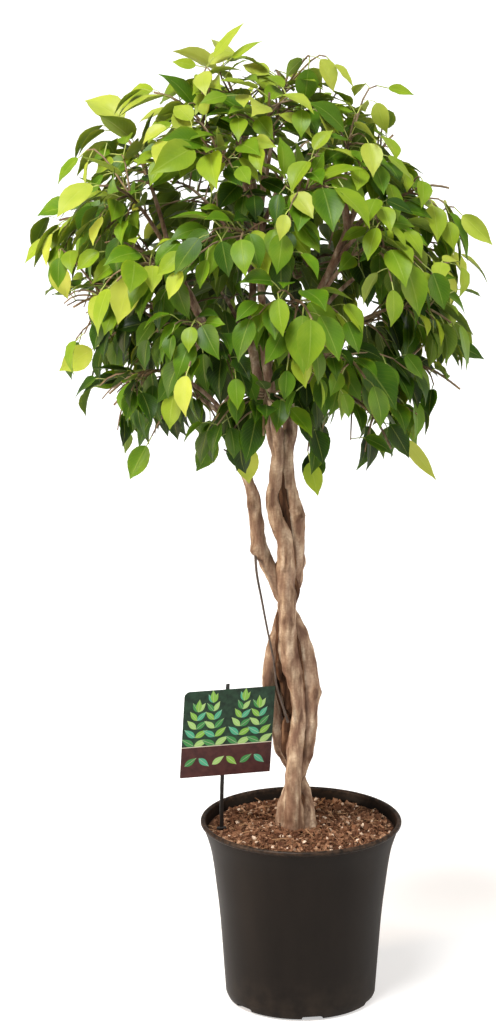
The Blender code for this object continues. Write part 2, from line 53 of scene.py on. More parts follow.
MM = 0.001

# %% [markdown]
# ## The camera
#
# The picture was taken from a little above, from far off with a long lens. The ellipse of the pot's
# rim and the width of its foot give the height and the distance, and the lens follows from how
# large the rim shows. A camera object could be turned by hand until it fits, but written as values
# it stays the same for every render.

# %% Place the camera
CAMERA_PLACE = (-0.0554, -3.8, 1.539)
CAMERA_DOWN = math.radians(14.92)
PICTURE_HEIGHT = 1024
FOCAL_LENGTH = 3848
SENSOR_HEIGHT = 24.0

bpy.ops.object.camera_add(location=CAMERA_PLACE, rotation=(math.pi / 2 - CAMERA_DOWN, 0, 0))
camera = bpy.context.object
camera.data.sensor_fit = "VERTICAL"
camera.data.sensor_height = SENSOR_HEIGHT
camera.data.lens = SENSOR_HEIGHT * FOCAL_LENGTH / PICTURE_HEIGHT
camera.data.clip_end = 60
bpy.context.scene.camera = camera
print("lens:", round(camera.data.lens, 1), "mm")

# %% [markdown]
# ## Studio light and floor
#
# A plant on a white sweep is lit by a bright room, a broad light from above and a tall soft light on
# each side. The room is a pale world colour. The light from above is a sun with a wide disc, because
# it lights the whole floor alike and still gives soft shadows. The two tall lights draw the long
# streaks on the dark pot.

# %% Light the studio
ROOM_COLOUR = (1.0, 1.0, 1.0, 1)
ROOM_STRENGTH = 0.32
ROOM_SEEN = 1.0
SUNS = [((-0.75, -1.05, 2.5), 4.0, 24), ((1.6, -1.1, 1.4), 0.55, 50)]
STRIPS = [((-1.25, -0.55, 0.75), (0.35, 1.5), 22), ((1.35, -0.35, 0.7), (0.2, 1.3), 9)]
STRIP_COLOUR = (1.0, 0.76, 0.56)
STRIP_AIM_BELOW = 0.2
FLOOR_SIZE = 60
FLOOR_GLOW = 0.5
FLOOR_HEIGHT = -0.0004


def shine(kind, place, target, **settings):
    """Adds a light that shines from a place towards a target."""
    bpy.ops.object.light_add(type=kind, location=place)
    light = bpy.context.object
    for name, value in settings.items():
        setattr(light.data, name, value)
    way = Vector(target) - light.location
    light.rotation_euler = way.to_track_quat("-Z", "Y").to_euler()


world = bpy.data.worlds.new("studio_room")
bpy.context.scene.world = world
world.use_nodes = True
room = world.node_tree
room.nodes["Background"].inputs["Color"].default_value = ROOM_COLOUR
seen = room.nodes.new("ShaderNodeLightPath").outputs["Is Camera Ray"]
brightness = room.nodes.new("ShaderNodeMapRange")
brightness.inputs["To Min"].default_value = ROOM_STRENGTH
brightness.inputs["To Max"].default_value = ROOM_SEEN
room.links.new(seen, brightness.inputs["Value"])
room.links.new(brightness.outputs["Result"], room.nodes["Background"].inputs["Strength"])
for place, strength, spread in SUNS:
    shine("SUN", place, (0, 0, 0), energy=strength, angle=math.radians(spread))
for place, (width, height), watts in STRIPS:
    shine("AREA", place, (0, 0, place[2] - STRIP_AIM_BELOW), shape="RECTANGLE", size=width,
          size_y=height, energy=watts, color=STRIP_COLOUR)
bpy.context.scene.view_settings.view_transform = "Standard"
print("lights:", len(SUNS) + len(STRIPS))

# %% [markdown]
# ## Small tools
#
# Operators act on whatever is selected, and the loaded frame comes in selected, so each piece starts
# by clearing the selection. A finished piece rides on the body of the frame, and may stand for nodes
# of the frame, which then hide.


# %% Tools for pieces
def start_clean():
    """Leaves edit mode and clears the selection, before a new primitive."""
    if bpy.context.mode != "OBJECT":
        bpy.ops.object.mode_set(mode="OBJECT")
    bpy.ops.object.select_all(action="DESELECT")


def pick(obj):
    """Selects one object alone and makes it the active one."""
    start_clean()
    obj.select_set(True)
    bpy.context.view_layer.objects.active = obj


def edit_all():
    """Opens the active object in edit mode with all of it selected."""
    bpy.ops.object.mode_set(mode="EDIT")
    bpy.ops.mesh.select_all(action="SELECT")


def face_outward():
    """In edit mode, turns every face outward, and leaves edit mode."""
    bpy.ops.mesh.select_all(action="SELECT")
    bpy.ops.mesh.normals_make_consistent(inside=False)
    bpy.ops.object.mode_set(mode="OBJECT")


def smooth_up_to(degrees):
    """Shades what is selected smooth, but for edges sharper than an angle."""
    bpy.ops.object.shade_smooth_by_angle(angle=math.radians(degrees))


def rounded_block(size, place, turn, radius, segments):
    """A block with bevelled edges, turned about the upright. All lengths are in metres."""
    start_clean()
    bpy.ops.mesh.primitive_cube_add(size=1, location=place, rotation=(0, 0, turn), scale=size)
    bpy.ops.object.transform_apply(location=True, rotation=True, scale=True)
    edit_all()
    bpy.ops.mesh.bevel(offset=radius, segments=segments)
    bpy.ops.object.mode_set(mode="OBJECT")
    return bpy.context.object


def rename(obj, name):
    """Gives an object and its mesh the same name."""
    obj.name = name
    obj.data.name = name
    return obj


def join(objects, name):
    """Joins objects into the first of them, and names it."""
    pick(objects[0])
    for obj in objects:
        obj.select_set(True)
    if len(objects) > 1:
        bpy.ops.object.join()
    return rename(bpy.context.object, name)


def faces_of(obj):
    """How many triangles a mesh has."""
    return sum(len(face.vertices) - 2 for face in obj.data.polygons)


def present(obj, stands_for=()):
    """Puts a finished piece on the frame's body and hides the nodes it stands for."""
    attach(obj, "root")
    if stands_for:
        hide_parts(*stands_for)
    print(f"{obj.name}: {faces_of(obj)} triangles")


def select_where(obj, test):
    """In edit mode, selects the points whose place passes a test, and nothing else."""
    bpy.ops.object.mode_set(mode="OBJECT")
    for face in obj.data.polygons:
        face.select = False
    for edge in obj.data.edges:
        edge.select = False
    for vert in obj.data.vertices:
        vert.select = test(vert.co)
    bpy.ops.object.mode_set(mode="EDIT")
    bpy.ops.mesh.select_mode(type="VERT")


def places_of(obj):
    """The places of all points of a mesh, one row for each."""
    places = np.empty(len(obj.data.vertices) * 3)
    obj.data.vertices.foreach_get("co", places)
    return places.reshape(-1, 3)


def move_points(obj, places):
    """Moves all points of a mesh at once."""
    obj.data.vertices.foreach_set("co", np.asarray(places, float).ravel())
    obj.data.update()


def mark(obj, name, values):
    """Writes one number for each point, which a material can read by name."""
    layer = obj.data.attributes.get(name) or obj.data.attributes.new(name, "FLOAT", "POINT")
    values = np.broadcast_to(np.asarray(values, float), len(obj.data.vertices))
    layer.data.foreach_set("value", values.astype(np.float32))


# %% [markdown]
# Materials are trees of nodes. One helper adds a node with its settings and its inputs, and an input
# may be a plain value or the output of another node, so that a material reads from top to bottom.


# %% Tools for materials
def put(tree, kind, inputs=None, **settings):
    """Adds a node, sets its options, and fills or links its inputs."""
    node = tree.nodes.new(kind)
    for name, value in settings.items():
        setattr(node, name, value)
    for socket, value in (inputs or {}).items():
        if isinstance(value, bpy.types.NodeSocket):
            tree.links.new(value, node.inputs[socket])
        else:
            node.inputs[socket].default_value = value
    return node


def sums(tree, operation, first, second=0.0, third=0.0, clamp=False):
    """One step of arithmetic between sockets or numbers."""
    return put(tree, "ShaderNodeMath", {0: first, 1: second, 2: third}, operation=operation,
               use_clamp=clamp).outputs[0]


def blend(tree, share, first, second):
    """A colour between two colours."""
    node = put(tree, "ShaderNodeMix", {0: share, 6: first, 7: second}, data_type="RGBA")
    return node.outputs[2]


def ramp(tree, value, stops):
    """Turns a value into a colour through a list of (place, colour) stops."""
    node = put(tree, "ShaderNodeValToRGB", {0: value})
    steps = node.color_ramp.elements
    while len(steps) < len(stops):
        steps.new(1.0)
    for step, (place, colour) in zip(steps, stops):
        step.position = place
        step.color = (*colour, 1)
    return node.outputs[0]


def new_finish(name, **fixed):
    """A material with its shader, whose plain values are set on the shader's own sockets."""
    material = bpy.data.materials.new(name)
    material.use_nodes = True
    shader = material.node_tree.nodes["Principled BSDF"]
    for socket, value in fixed.items():
        shader.inputs[socket.replace("_", " ")].default_value = value
    return material, material.node_tree, shader


def feed(tree, node, **sockets):
    """Links outputs to a node's inputs, which are given by name."""
    for name, value in sockets.items():
        tree.links.new(value, node.inputs[name.replace("_", " ")])


def roughen(tree, shader, height, distance, strength=0.6):
    """Feeds a height to the shader's normal through a Bump node."""
    bump = put(tree, "ShaderNodeBump",
               {"Strength": strength, "Distance": distance, "Height": height})
    feed(tree, shader, Normal=bump.outputs["Normal"])


def own_place(tree, height_scale=1.0):
    """Object coordinates. A height scale below 1 draws the pattern out along the height."""
    place = put(tree, "ShaderNodeTexCoord").outputs["Object"]
    if height_scale != 1.0:
        place = put(tree, "ShaderNodeMapping",
                    {"Vector": place, "Scale": (1, 1, height_scale)}).outputs[0]
    return place


def marked(tree, name):
    """The number that the mesh carries under a name."""
    return put(tree, "ShaderNodeAttribute", attribute_name=name).outputs["Fac"]


def over(tree, mask, strength, under, colour):
    """A colour laid over another one where a mask is high."""
    share = sums(tree, "MULTIPLY", mask, strength, clamp=True)
    return blend(tree, share, under, (*colour, 1))


# %% [markdown]
# ## Effects that several finishes share
#
# A node group is built once and placed in many materials with its own values, which keeps the
# trees short. Two are built here: mottling at two scales, and a dusting that is full at one height
# and fades from there. The veins of the leaves and the leaf printed on the label get groups of
# their own further on.


# %% Node groups
def new_group(name, inputs, outputs):
    """An empty group with named sockets, and its two end nodes."""
    group = bpy.data.node_groups.new(name, "ShaderNodeTree")
    kinds = {"V": "NodeSocketVector", "F": "NodeSocketFloat", "C": "NodeSocketColor"}
    for label, kind in inputs:
        group.interface.new_socket(label, in_out="INPUT", socket_type=kinds[kind])
    for label, kind in outputs:
        group.interface.new_socket(label, in_out="OUTPUT", socket_type=kinds[kind])
    return group, group.nodes.new("NodeGroupInput"), group.nodes.new("NodeGroupOutput")


mottle_group, given, result = new_group(
    "mottle", [("Place", "V"), ("Scale", "F"), ("Contrast", "F")], [("Mask", "F"), ("Fine", "F")])
broad = put(mottle_group, "ShaderNodeTexNoise",
            {"Vector": given.outputs["Place"], "Scale": given.outputs["Scale"], "Detail": 4.0})
finer_scale = sums(mottle_group, "MULTIPLY", given.outputs["Scale"], 5.3)
finer = put(mottle_group, "ShaderNodeTexNoise",
            {"Vector": given.outputs["Place"], "Scale": finer_scale, "Detail": 3.0})
centred = sums(mottle_group, "SUBTRACT", broad.outputs["Fac"], 0.5)
spread_out = sums(mottle_group, "MULTIPLY_ADD", centred, given.outputs["Contrast"], 0.5, clamp=True)
feed(mottle_group, result, Mask=spread_out, Fine=finer.outputs["Fac"])

dust_group, given, result = new_group(
    "dusting", [("Place", "V"), ("Low", "F"), ("Fade", "F"), ("Scale", "F")], [("Mask", "F")])
height = put(dust_group, "ShaderNodeSeparateXYZ", {0: given.outputs["Place"]}).outputs["Z"]
above = sums(dust_group, "SUBTRACT", height, given.outputs["Low"])
faded = sums(dust_group, "DIVIDE", above, given.outputs["Fade"])
thick = sums(dust_group, "SUBTRACT", 1.0, faded, clamp=True)
patches = put(dust_group, "ShaderNodeTexNoise",
              {"Vector": given.outputs["Place"], "Scale": given.outputs["Scale"], "Detail": 5.0})
patchy = sums(dust_group, "MULTIPLY_ADD", patches.outputs["Fac"], 2.6, -0.9, clamp=True)
feed(dust_group, result, Mask=sums(dust_group, "MULTIPLY", thick, patchy))
print("groups:", [group.name for group in bpy.data.node_groups])


# %% Place the groups in a finish
def mottled(tree, place, scale, contrast):
    """The mottling group placed in a finish, with its scale and contrast."""
    return put(tree, "ShaderNodeGroup", {"Place": place, "Scale": scale, "Contrast": contrast},
               node_tree=mottle_group)


def dusted(tree, place, low, fade, scale):
    """A patchy mask, full at one height and gone where it has faded out above or below it."""
    return put(tree, "ShaderNodeGroup", {"Place": place, "Low": low, "Fade": fade, "Scale": scale},
               node_tree=dust_group).outputs["Mask"]


def toned_colour(tree, name, mottle, share, stops):
    """The colour for a number that the mesh carries, shifted a little by the mottling."""
    shifted = sums(tree, "MULTIPLY_ADD", mottle.outputs["Mask"], share, -share / 2)
    return ramp(tree, sums(tree, "ADD", marked(tree, name), shifted, clamp=True), stops)


def mottled_finish(name, stops, scale, contrast, relief, depth=0.6, height_scale=1.0, **fixed):
    """A finish that runs through a few colours in soft patches, with a fine relief."""
    material, tree, shader = new_finish(name, **fixed)
    mottle = mottled(tree, own_place(tree, height_scale), scale, contrast)
    feed(tree, shader, Base_Color=ramp(tree, mottle.outputs["Mask"], stops))
    roughen(tree, shader, mottle.outputs["Fine"], relief, depth)
    return material


# %% [markdown]
# ## The floor
#
# A plain pale sheet, so large that it fills the view from any side. It glows a little to the camera
# alone, like an acrylic sheet lit from below, so that the shadows on it stay faint. It is stage and
# no part of the plant.

# %% Lay the floor
start_clean()
bpy.ops.mesh.primitive_plane_add(size=FLOOR_SIZE, location=(0, 0, FLOOR_HEIGHT))
floor = bpy.context.object
floor.name = "floor"
paper, tree, shader = new_finish("studio_paper", Base_Color=(0.62, 0.62, 0.615, 1), Roughness=0.9,
                                 Emission_Color=(1, 1, 1, 1))
seen = put(tree, "ShaderNodeLightPath").outputs["Is Camera Ray"]
feed(tree, shader, Emission_Strength=sums(tree, "MULTIPLY", seen, FLOOR_GLOW))
floor.data.materials.append(paper)

# %% [markdown]
# ## The pot
#
# A nursery pot is one thin moulding: a flat foot, a wall that tapers by a few degrees, a collar that
# flares near the top and a rolled rim. It is round, so it is drawn as a circle that is extruded
# upwards and scaled ring by ring, over the rim and down the inside. A Screw or Spin of a profile
# would give the same shape; extruding keeps every ring at a height that can be named.

# %% Sizes of the pot
POT_OUTER = [(72.0, 0.0), (76.5, 1.8), (78.7, 6.5), (84.5, 88.0), (88.6, 125.0), (91.8, 150.0),
             (95.4, 169.0), (101.0, 186.0)]
POT_HEIGHT = 195.5
RIM_RADIUS = 105.0
RIM_BEAD = 2.6
BEAD_FOOT = (102.0, 189.6)
BEAD_START = -62
BEAD_TURN = 24
BEAD_POINTS = 11
POT_WALL = 1.8
POT_FLOOR = 2.2
POT_RING_STEP = 9.0
POT_SIDES = 144
NOTCHES = 6
NOTCH_START = math.radians(-81)
NOTCH_MIDDLE = 0.081
NOTCH_SIZE = (0.030, 0.023, 0.010)
NOTCH_ROUNDING = 2.2 * MM


def through(rows, step):
    """A Catmull-Rom curve through rows of numbers, with a row about every step."""
    rows = [rows[0], *rows, rows[-1]]
    result = []
    for before, start, end, after in zip(rows, rows[1:], rows[2:], rows[3:]):
        count = max(1, round((Vector(end[:3]) - Vector(start[:3])).length / step))
        for k in range(count):
            t = k / count
            result.append([
                0.5 * (2 * b + (c - a) * t + (2 * a - 5 * b + 4 * c - d) * t * t
                       + (3 * b - a - 3 * c + d) * t ** 3)
                for a, b, c, d in zip(before, start, end, after)
            ])
    result.append(list(rows[-1]))
    return result


def pot_section():
    """(radius, height) in mm, up the outside, round the bead and down the inside."""
    wall = POT_OUTER[:2] + [tuple(row) for row in through(POT_OUTER[2:], POT_RING_STEP)]
    bead = [BEAD_FOOT]
    for k in range(BEAD_POINTS):
        angle = math.radians(BEAD_START + BEAD_TURN * k)
        bead.append((RIM_RADIUS - RIM_BEAD * (1 - math.cos(angle)),
                     POT_HEIGHT - RIM_BEAD * (1 - math.sin(angle))))
    inside = [(radius - POT_WALL, height) for radius, height in reversed(wall[2:])]
    floor_ring = [(wall[1][0] - POT_WALL, POT_FLOOR)]
    return wall + bead + inside + floor_ring


# %% Turn the pot
def extrude_up(name, section, sides):
    """A filled circle extruded along (radius, height) in mm, each new ring scaled to its radius."""
    start_clean()
    (radius, height), *rest = section
    bpy.ops.mesh.primitive_circle_add(vertices=sides, radius=radius * MM, fill_type="NGON",
                                      location=(0, 0, height * MM))
    obj = rename(bpy.context.object, name)
    bpy.ops.object.transform_apply(location=True)
    bpy.ops.object.mode_set(mode="EDIT")
    for new_radius, new_height in rest:
        lift = (new_height - height) * MM
        bpy.ops.mesh.extrude_region_move(TRANSFORM_OT_translate={"value": (0, 0, lift)})
        grow = new_radius / radius
        bpy.ops.transform.resize(value=(grow, grow, 1), center_override=(0, 0, new_height * MM))
        radius, height = new_radius, new_height
    face_outward()
    return obj


def cut(target, cutter):
    """Cuts one mesh from another and removes the cutter."""
    pick(target)
    boolean = target.modifiers.new("cut", "BOOLEAN")
    boolean.object = cutter
    boolean.operation = "DIFFERENCE"
    bpy.ops.object.modifier_apply(modifier=boolean.name)
    bpy.data.objects.remove(cutter, do_unlink=True)


pot = extrude_up("nursery_pot", pot_section(), POT_SIDES)
for k in range(NOTCHES):
    angle = NOTCH_START + k * 2 * math.pi / NOTCHES
    middle = (NOTCH_MIDDLE * math.cos(angle), NOTCH_MIDDLE * math.sin(angle), 0)
    cut(pot, rounded_block(NOTCH_SIZE, middle, angle, NOTCH_ROUNDING, 4))
pick(pot)
smooth_up_to(38)

# %% [markdown]
# The plastic is a brown-black regrind, satin rather than shiny. It has a faint orange peel, marks
# drawn up the wall, and pale dust low down and along the rim where mix was spilt. A painted image
# could hold all this, but noise that follows Object coordinates needs no unwrapping and stays with
# the pot.

# %% Pot plastic
PLASTIC = ((0.0070, 0.0053, 0.0043, 1), (0.0118, 0.0089, 0.0070, 1))
DUST = (0.060, 0.044, 0.031)
SPILT_MIX = (0.120, 0.070, 0.042)

plastic, tree, shader = new_finish("pot_plastic", Specular_IOR_Level=0.12)
place = own_place(tree)
mottle = mottled(tree, own_place(tree, 0.25), 26, 2.2)
colour = blend(tree, mottle.outputs["Mask"], *PLASTIC)
colour = over(tree, dusted(tree, place, 0.0, 0.05, 70), 0.30, colour, DUST)
colour = over(tree, dusted(tree, place, POT_HEIGHT * MM, -0.008, 240), 0.45, colour, SPILT_MIX)
feed(tree, shader, Base_Color=colour,
     Roughness=sums(tree, "MULTIPLY_ADD", mottle.outputs["Mask"], 0.10, 0.36))
grain = put(tree, "ShaderNodeTexNoise", {"Vector": place, "Scale": 900, "Detail": 2.0})
roughen(tree, shader, grain.outputs["Fac"], 0.1 * MM, 0.25)
pot.data.materials.append(plastic)
present(pot, ["pot"])

# %% [markdown]
# ## The potting mix
#
# A fig stands in bark and peat with perlite. From a step away that is a lumpy red-brown surface with
# pale specks, and most of its look comes from loose bits that lie at all angles. So the body of the
# mix is one turned plug with an uneven top, and over it lie bark chips, perlite grains and fibres.
# Each kind is modelled a few times and copied, every copy turned, stretched and toned on its own.

# %% Noise in layers
def waves(rows, x, y, z):
    """Several noises added up. A row has a strength, a scale across the stem and one along it."""
    return sum(strength * noise.noise(Vector((x * across, y * across, z * along)))
               for strength, across, along in rows)


# %% Turn the plug of mix
MIX_TOP = 183.5
MIX_MOUND = 4.0
MIX_MARGIN = 0.5
MIX_LUMPS = [(2.2, 55, 55), (1.3, 150, 150)]
MIX_FOOT = (72.0, 7.5)
MIX_ABOVE_FLOOR = 0.3
MIX_HEIGHTS = (88, 125, 150, 169, 181)
MIX_SIDES = 96
MIX_RINGS = 26
MIX_CENTRE = 1.5
MIX_SEED = 5


def pot_inside(height):
    """Inside radius of the pot at a height, both in mm."""
    pairs = list(zip(POT_OUTER[2:], POT_OUTER[3:]))
    (r0, z0), (r1, z1) = next((pair for pair in pairs if height <= pair[1][1]), pairs[-1])
    return r0 + (r1 - r0) * (height - z0) / (z1 - z0) - POT_WALL


def mix_height(x, y):
    """Height of the mix at a place, in metres: a low mound with lumps of two sizes."""
    edge = (pot_inside(MIX_TOP) - MIX_MARGIN) * MM
    inward = max(0.0, 1 - math.hypot(x, y) / edge)
    lumps = waves(MIX_LUMPS, x, y, 0)
    return (MIX_TOP + MIX_MOUND * inward + lumps * min(1.0, 6 * inward)) * MM


foot_radius, foot_height = MIX_FOOT
plug_section = [(foot_radius, POT_FLOOR + MIX_ABOVE_FLOOR)]
plug_section += [(pot_inside(height) - MIX_MARGIN, height)
                 for height in (foot_height, *MIX_HEIGHTS)]
top_edge = pot_inside(MIX_TOP) - MIX_MARGIN
plug_section += [(top_edge * (1 - k / MIX_RINGS) + MIX_CENTRE * k / MIX_RINGS, MIX_TOP)
                 for k in range(MIX_RINGS + 1)]
mix = extrude_up("mix_body", plug_section, MIX_SIDES)
places = places_of(mix)
for spot in places:
    if spot[2] > (MIX_TOP - 0.01) * MM:
        spot[2] = mix_height(spot[0], spot[1])
move_points(mix, places)
mix.data.shade_smooth()
print("mix:", faces_of(mix), "triangles, top at", MIX_TOP, "mm")


# %% Model a few chips and grains
def lumpy(name, size, roughness, seed, smoothness):
    """A small lump: a cube, subdivided, with every point pushed a little."""
    start_clean()
    bpy.ops.mesh.primitive_cube_add(size=1, scale=size)
    bpy.ops.object.transform_apply(scale=True)
    edit_all()
    bpy.ops.mesh.subdivide(number_cuts=1, smoothness=smoothness)
    bpy.ops.object.mode_set(mode="OBJECT")
    rng = random.Random(seed)
    lump = bpy.context.object
    move_points(lump, [spot + [rng.uniform(-roughness, roughness) * side for side in size]
                       for spot in places_of(lump)])
    lump.name = name
    return lump


CHIP_SHAPES = [(1.0, 0.62, 0.30), (1.0, 0.45, 0.38), (1.0, 0.80, 0.22), (1.0, 0.30, 0.26),
               (1.0, 0.70, 0.55)]
SLIM_CHIP = 3
GRAIN_SHAPE = (0.9, 0.66, 0.5)
chips = [lumpy(f"chip_{k}", size, 0.16, k, 0.0) for k, size in enumerate(CHIP_SHAPES)]
grains = [lumpy(f"grain_{k}", GRAIN_SHAPE, 0.24, 20 + k, 1.0) for k in range(4)]
print("patterns:", len(chips) + len(grains), "with", faces_of(chips[0]), "triangles each")


# %% Scatter them over the mix
def scatter(name, patterns, rows):
    """Copies a pattern for each (place, turn, size, tone) row, each with its own mesh, and joins."""
    copies = []
    for k, (place, turn, size, tone) in enumerate(rows):
        mesh = patterns[k % len(patterns)].data.copy()
        mesh.transform(Matrix.LocRotScale(place, turn, size))
        copy = bpy.data.objects.new(f"{name}_{k}", mesh)
        bpy.context.scene.collection.objects.link(copy)
        mark(copy, "tone", tone)
        copies.append(copy)
    return join(copies, name)


def spots_on_mix(rng, count, nearest, margin):
    """Places spread at random over the mix, no two nearer than a distance, clear of the wall."""
    spots = []
    edge = (pot_inside(MIX_TOP) - margin) * MM
    for _ in range(count * 12):
        angle, reach = rng.uniform(0, 2 * math.pi), edge * math.sqrt(rng.random())
        x, y = reach * math.cos(angle), reach * math.sin(angle)
        if all((x - u) ** 2 + (y - v) ** 2 > nearest ** 2 for u, v in spots):
            spots.append((x, y))
        if len(spots) == count:
            break
    return spots


def loose_bits(rng, count, nearest, margin, sizes, proud, tilt):
    """Rows for scatter: bits at random places on the mix, each turned and sized at random."""
    rows = []
    for x, y in spots_on_mix(rng, count, nearest * MM, margin):
        size = rng.uniform(*sizes) * MM
        turn = Matrix.Rotation(rng.uniform(0, 2 * math.pi), 3, "Z") @ Matrix.Rotation(
            rng.gauss(0, tilt), 3, "X") @ Matrix.Rotation(rng.gauss(0, tilt), 3, "Y")
        place = Vector((x, y, mix_height(x, y) + size * proud))
        stretch = Vector((size * rng.uniform(0.8, 1.3), size, size * rng.uniform(0.8, 1.2)))
        rows.append((place, turn.to_quaternion(), stretch, rng.random()))
    return rows


# How many, the least distance and margin in mm, sizes in mm, share above the mix, and tilt.
BIG_CHIPS = (110, 9.0, 7.0, (6.0, 10.5), 0.05, 0.45)
SMALL_CHIPS = (1500, 2.7, 4.0, (2.4, 5.6), 0.16, 0.8)
PERLITE = (120, 8.0, 4.0, (1.6, 3.8), 0.50, 0.9)
FIBRES = (150, 5.0, 6.0, (5.0, 10.0), 0.22, 0.35)
FIBRE_STRETCH = Vector((1.6, 0.16, 0.3))

rng = random.Random(MIX_SEED)
bark_chips = scatter("mix_bark_chips", chips,
                     loose_bits(rng, *BIG_CHIPS) + loose_bits(rng, *SMALL_CHIPS))
perlite = scatter("mix_perlite", grains, loose_bits(rng, *PERLITE))
fibres = scatter("mix_fibres", [chips[SLIM_CHIP]],
                 [(place, turn, size * FIBRE_STRETCH, tone)
                  for place, turn, size, tone in loose_bits(rng, *FIBRES)])
for pattern in chips + grains:
    bpy.data.objects.remove(pattern, do_unlink=True)
for obj in (bark_chips, perlite, fibres):
    obj.data.shade_flat()

# %% [markdown]
# Damp bark runs from near black to a warm red-brown and a pale worn tan, so every chip carries a
# tone of its own and the material turns that number into a colour. Perlite is off-white and dusty.


# %% Mix finishes
def toned(name, stops, roughness, scale, relief):
    """A matt finish whose colour follows each bit's own tone, mottled over the bit."""
    material, tree, shader = new_finish(name, Roughness=roughness, Specular_IOR_Level=0.25)
    mottle = mottled(tree, own_place(tree), scale, 1.8)
    feed(tree, shader, Base_Color=toned_colour(tree, "tone", mottle, 0.4, stops))
    roughen(tree, shader, mottle.outputs["Fine"], relief, 0.8)
    return material


chip_finish = toned("damp_bark", [(0.0, (0.062, 0.022, 0.009)), (0.35, (0.118, 0.050, 0.023)),
                                  (0.7, (0.190, 0.090, 0.046)), (1.0, (0.38, 0.22, 0.13))],
                    0.85, 260, 0.6 * MM)
perlite_finish = toned("perlite", [(0.0, (0.30, 0.19, 0.12)), (1.0, (0.66, 0.53, 0.41))],
                       0.9, 500, 0.3 * MM)
fibre_finish = toned("fibre", [(0.0, (0.10, 0.045, 0.02)), (1.0, (0.42, 0.25, 0.13))],
                     0.85, 300, 0.3 * MM)
peat_finish = toned("peat", [(0.0, (0.040, 0.015, 0.006)), (0.6, (0.090, 0.037, 0.017)),
                             (1.0, (0.18, 0.084, 0.042))], 0.95, 190, 1.5 * MM)
mark(mix, "tone", 0.45)
for obj, material in ((mix, peat_finish), (bark_chips, chip_finish), (perlite, perlite_finish),
                      (fibres, fibre_finish)):
    obj.data.materials.append(material)
    present(obj, ["soil"] if obj == mix else [])

# %% [markdown]
# ## The plait
#
# Four young figs were planted together and plaited while they were thin. Each stem here follows the
# same route as in the plain model. The listed routes alone would cut into each other, so the stems
# are then pushed apart a little at a time until none lies in another, as they do when they thicken
# side by side.

# %% Routes of the stems, in mm: x, y, z and radius
STEM_ROUTES = {
    "stem_front": [
        (-9, -5, 158, 9.0), (-9, -6, 195, 8.8), (-9, -9, 240, 8.0), (-6, -8, 280, 7.2),
        (-3, -6, 315, 6.2), (-8, -7, 348, 6.6), (-14, -9, 385, 7.8), (-16, -10, 433, 8.2),
        (-17, -8, 490, 7.0), (-26, -5, 522, 6.0), (-30, -3, 545, 5.4), (-26, -7, 582, 5.7),
        (-26, -12, 616, 5.2), (-33, -22, 660, 4.6), (-40, -30, 715, 3.9), (-42, -26, 775, 3.2),
        (-44, -12, 850, 2.4),
    ],
    "stem_left": [
        (-24, 9, 158, 7.2), (-20, 8, 200, 7.0), (-8, 7, 228, 6.9), (2, 6, 250, 6.8),
        (8, 3, 275, 6.7), (10, -1, 315, 6.8), (11, -1, 338, 7.4), (7, 1, 368, 6.8),
        (-3, 6, 402, 6.7), (-19, 7, 432, 6.5), (-32, 2, 462, 6.3), (-44, -3, 492, 7.0),
        (-48, -4, 520, 5.6), (-54, -4, 558, 5.3), (-66, -8, 600, 4.9), (-78, -12, 662, 4.3),
        (-104, -15, 735, 3.6), (-138, -6, 800, 2.6),
    ],
    "stem_right": [
        (13, -5, 158, 7.6), (10, -3, 195, 7.2), (2, 8, 222, 6.8), (-10, 20, 244, 6.6),
        (-22, 9, 270, 6.6), (-28, 0, 304, 6.4), (-35, -3, 340, 5.9), (-30, 1, 380, 6.1),
        (-18, 17, 414, 6.3), (-6, 12, 448, 6.6), (-4, 0, 495, 6.9), (-6, 0, 520, 7.3),
        (-14, 3, 555, 6.3), (-18, 3, 585, 6.7), (-14, 4, 614, 7.2), (-7, 7, 653, 6.2),
        (4, 12, 716, 4.8), (34, 18, 790, 3.4), (52, 16, 835, 2.5),
    ],
    "stem_back": [
        (-10, 26, 158, 6.2), (-9, 28, 195, 5.8), (-7, 34, 240, 5.2), (-11, 24, 280, 5.1),
        (-18, 11, 315, 5.0), (-24, 10, 350, 5.0), (-22, 15, 382, 5.0), (-15, 31, 424, 5.0),
        (-17, 18, 470, 4.8), (-20, 9, 520, 4.4), (-22, 11, 555, 4.6), (-28, 17, 590, 4.8),
        (-40, 24, 635, 4.7), (-50, 50, 690, 4.2), (-50, 84, 755, 3.4), (-42, 100, 820, 2.5),
    ],
}
ROOT_ROUTE = [
    (-44, -12, 488, 1.3), (-47, -11, 470, 1.1), (-42, -11, 440, 1.0), (-35, -15, 403, 0.9),
    (-29, -13, 372, 0.9), (-26, -13, 345, 0.9), (-19, -16, 322, 1.0), (-14, -17, 306, 1.2),
]
STEM_STEP = 0.021
STEM_GAP = 1.2 * MM
SETTLE_ROUNDS = 50
BRAID_TOP = 0.64
ROOT_STEP = 0.016


def smooth_route(rows, step):
    """A smooth curve through given (x, y, z, radius) in mm, as (place, radius) in m."""
    metres = [[value * MM for value in row] for row in rows]
    return [(Vector(row[:3]), row[3]) for row in through(metres, step)]


# %% Settle the stems against each other
def nearest_on(route, point):
    """How far a point is from a route, the nearest place on it and the stem's radius there."""
    best = None
    for (a, ra), (b, rb) in zip(route, route[1:]):
        along = b - a
        t = min(1.0, max(0.0, (point - a).dot(along) / along.length_squared))
        place = a + along * t
        distance = (point - place).length
        if best is None or distance < best[0]:
            best = (distance, place, ra + (rb - ra) * t)
    return best


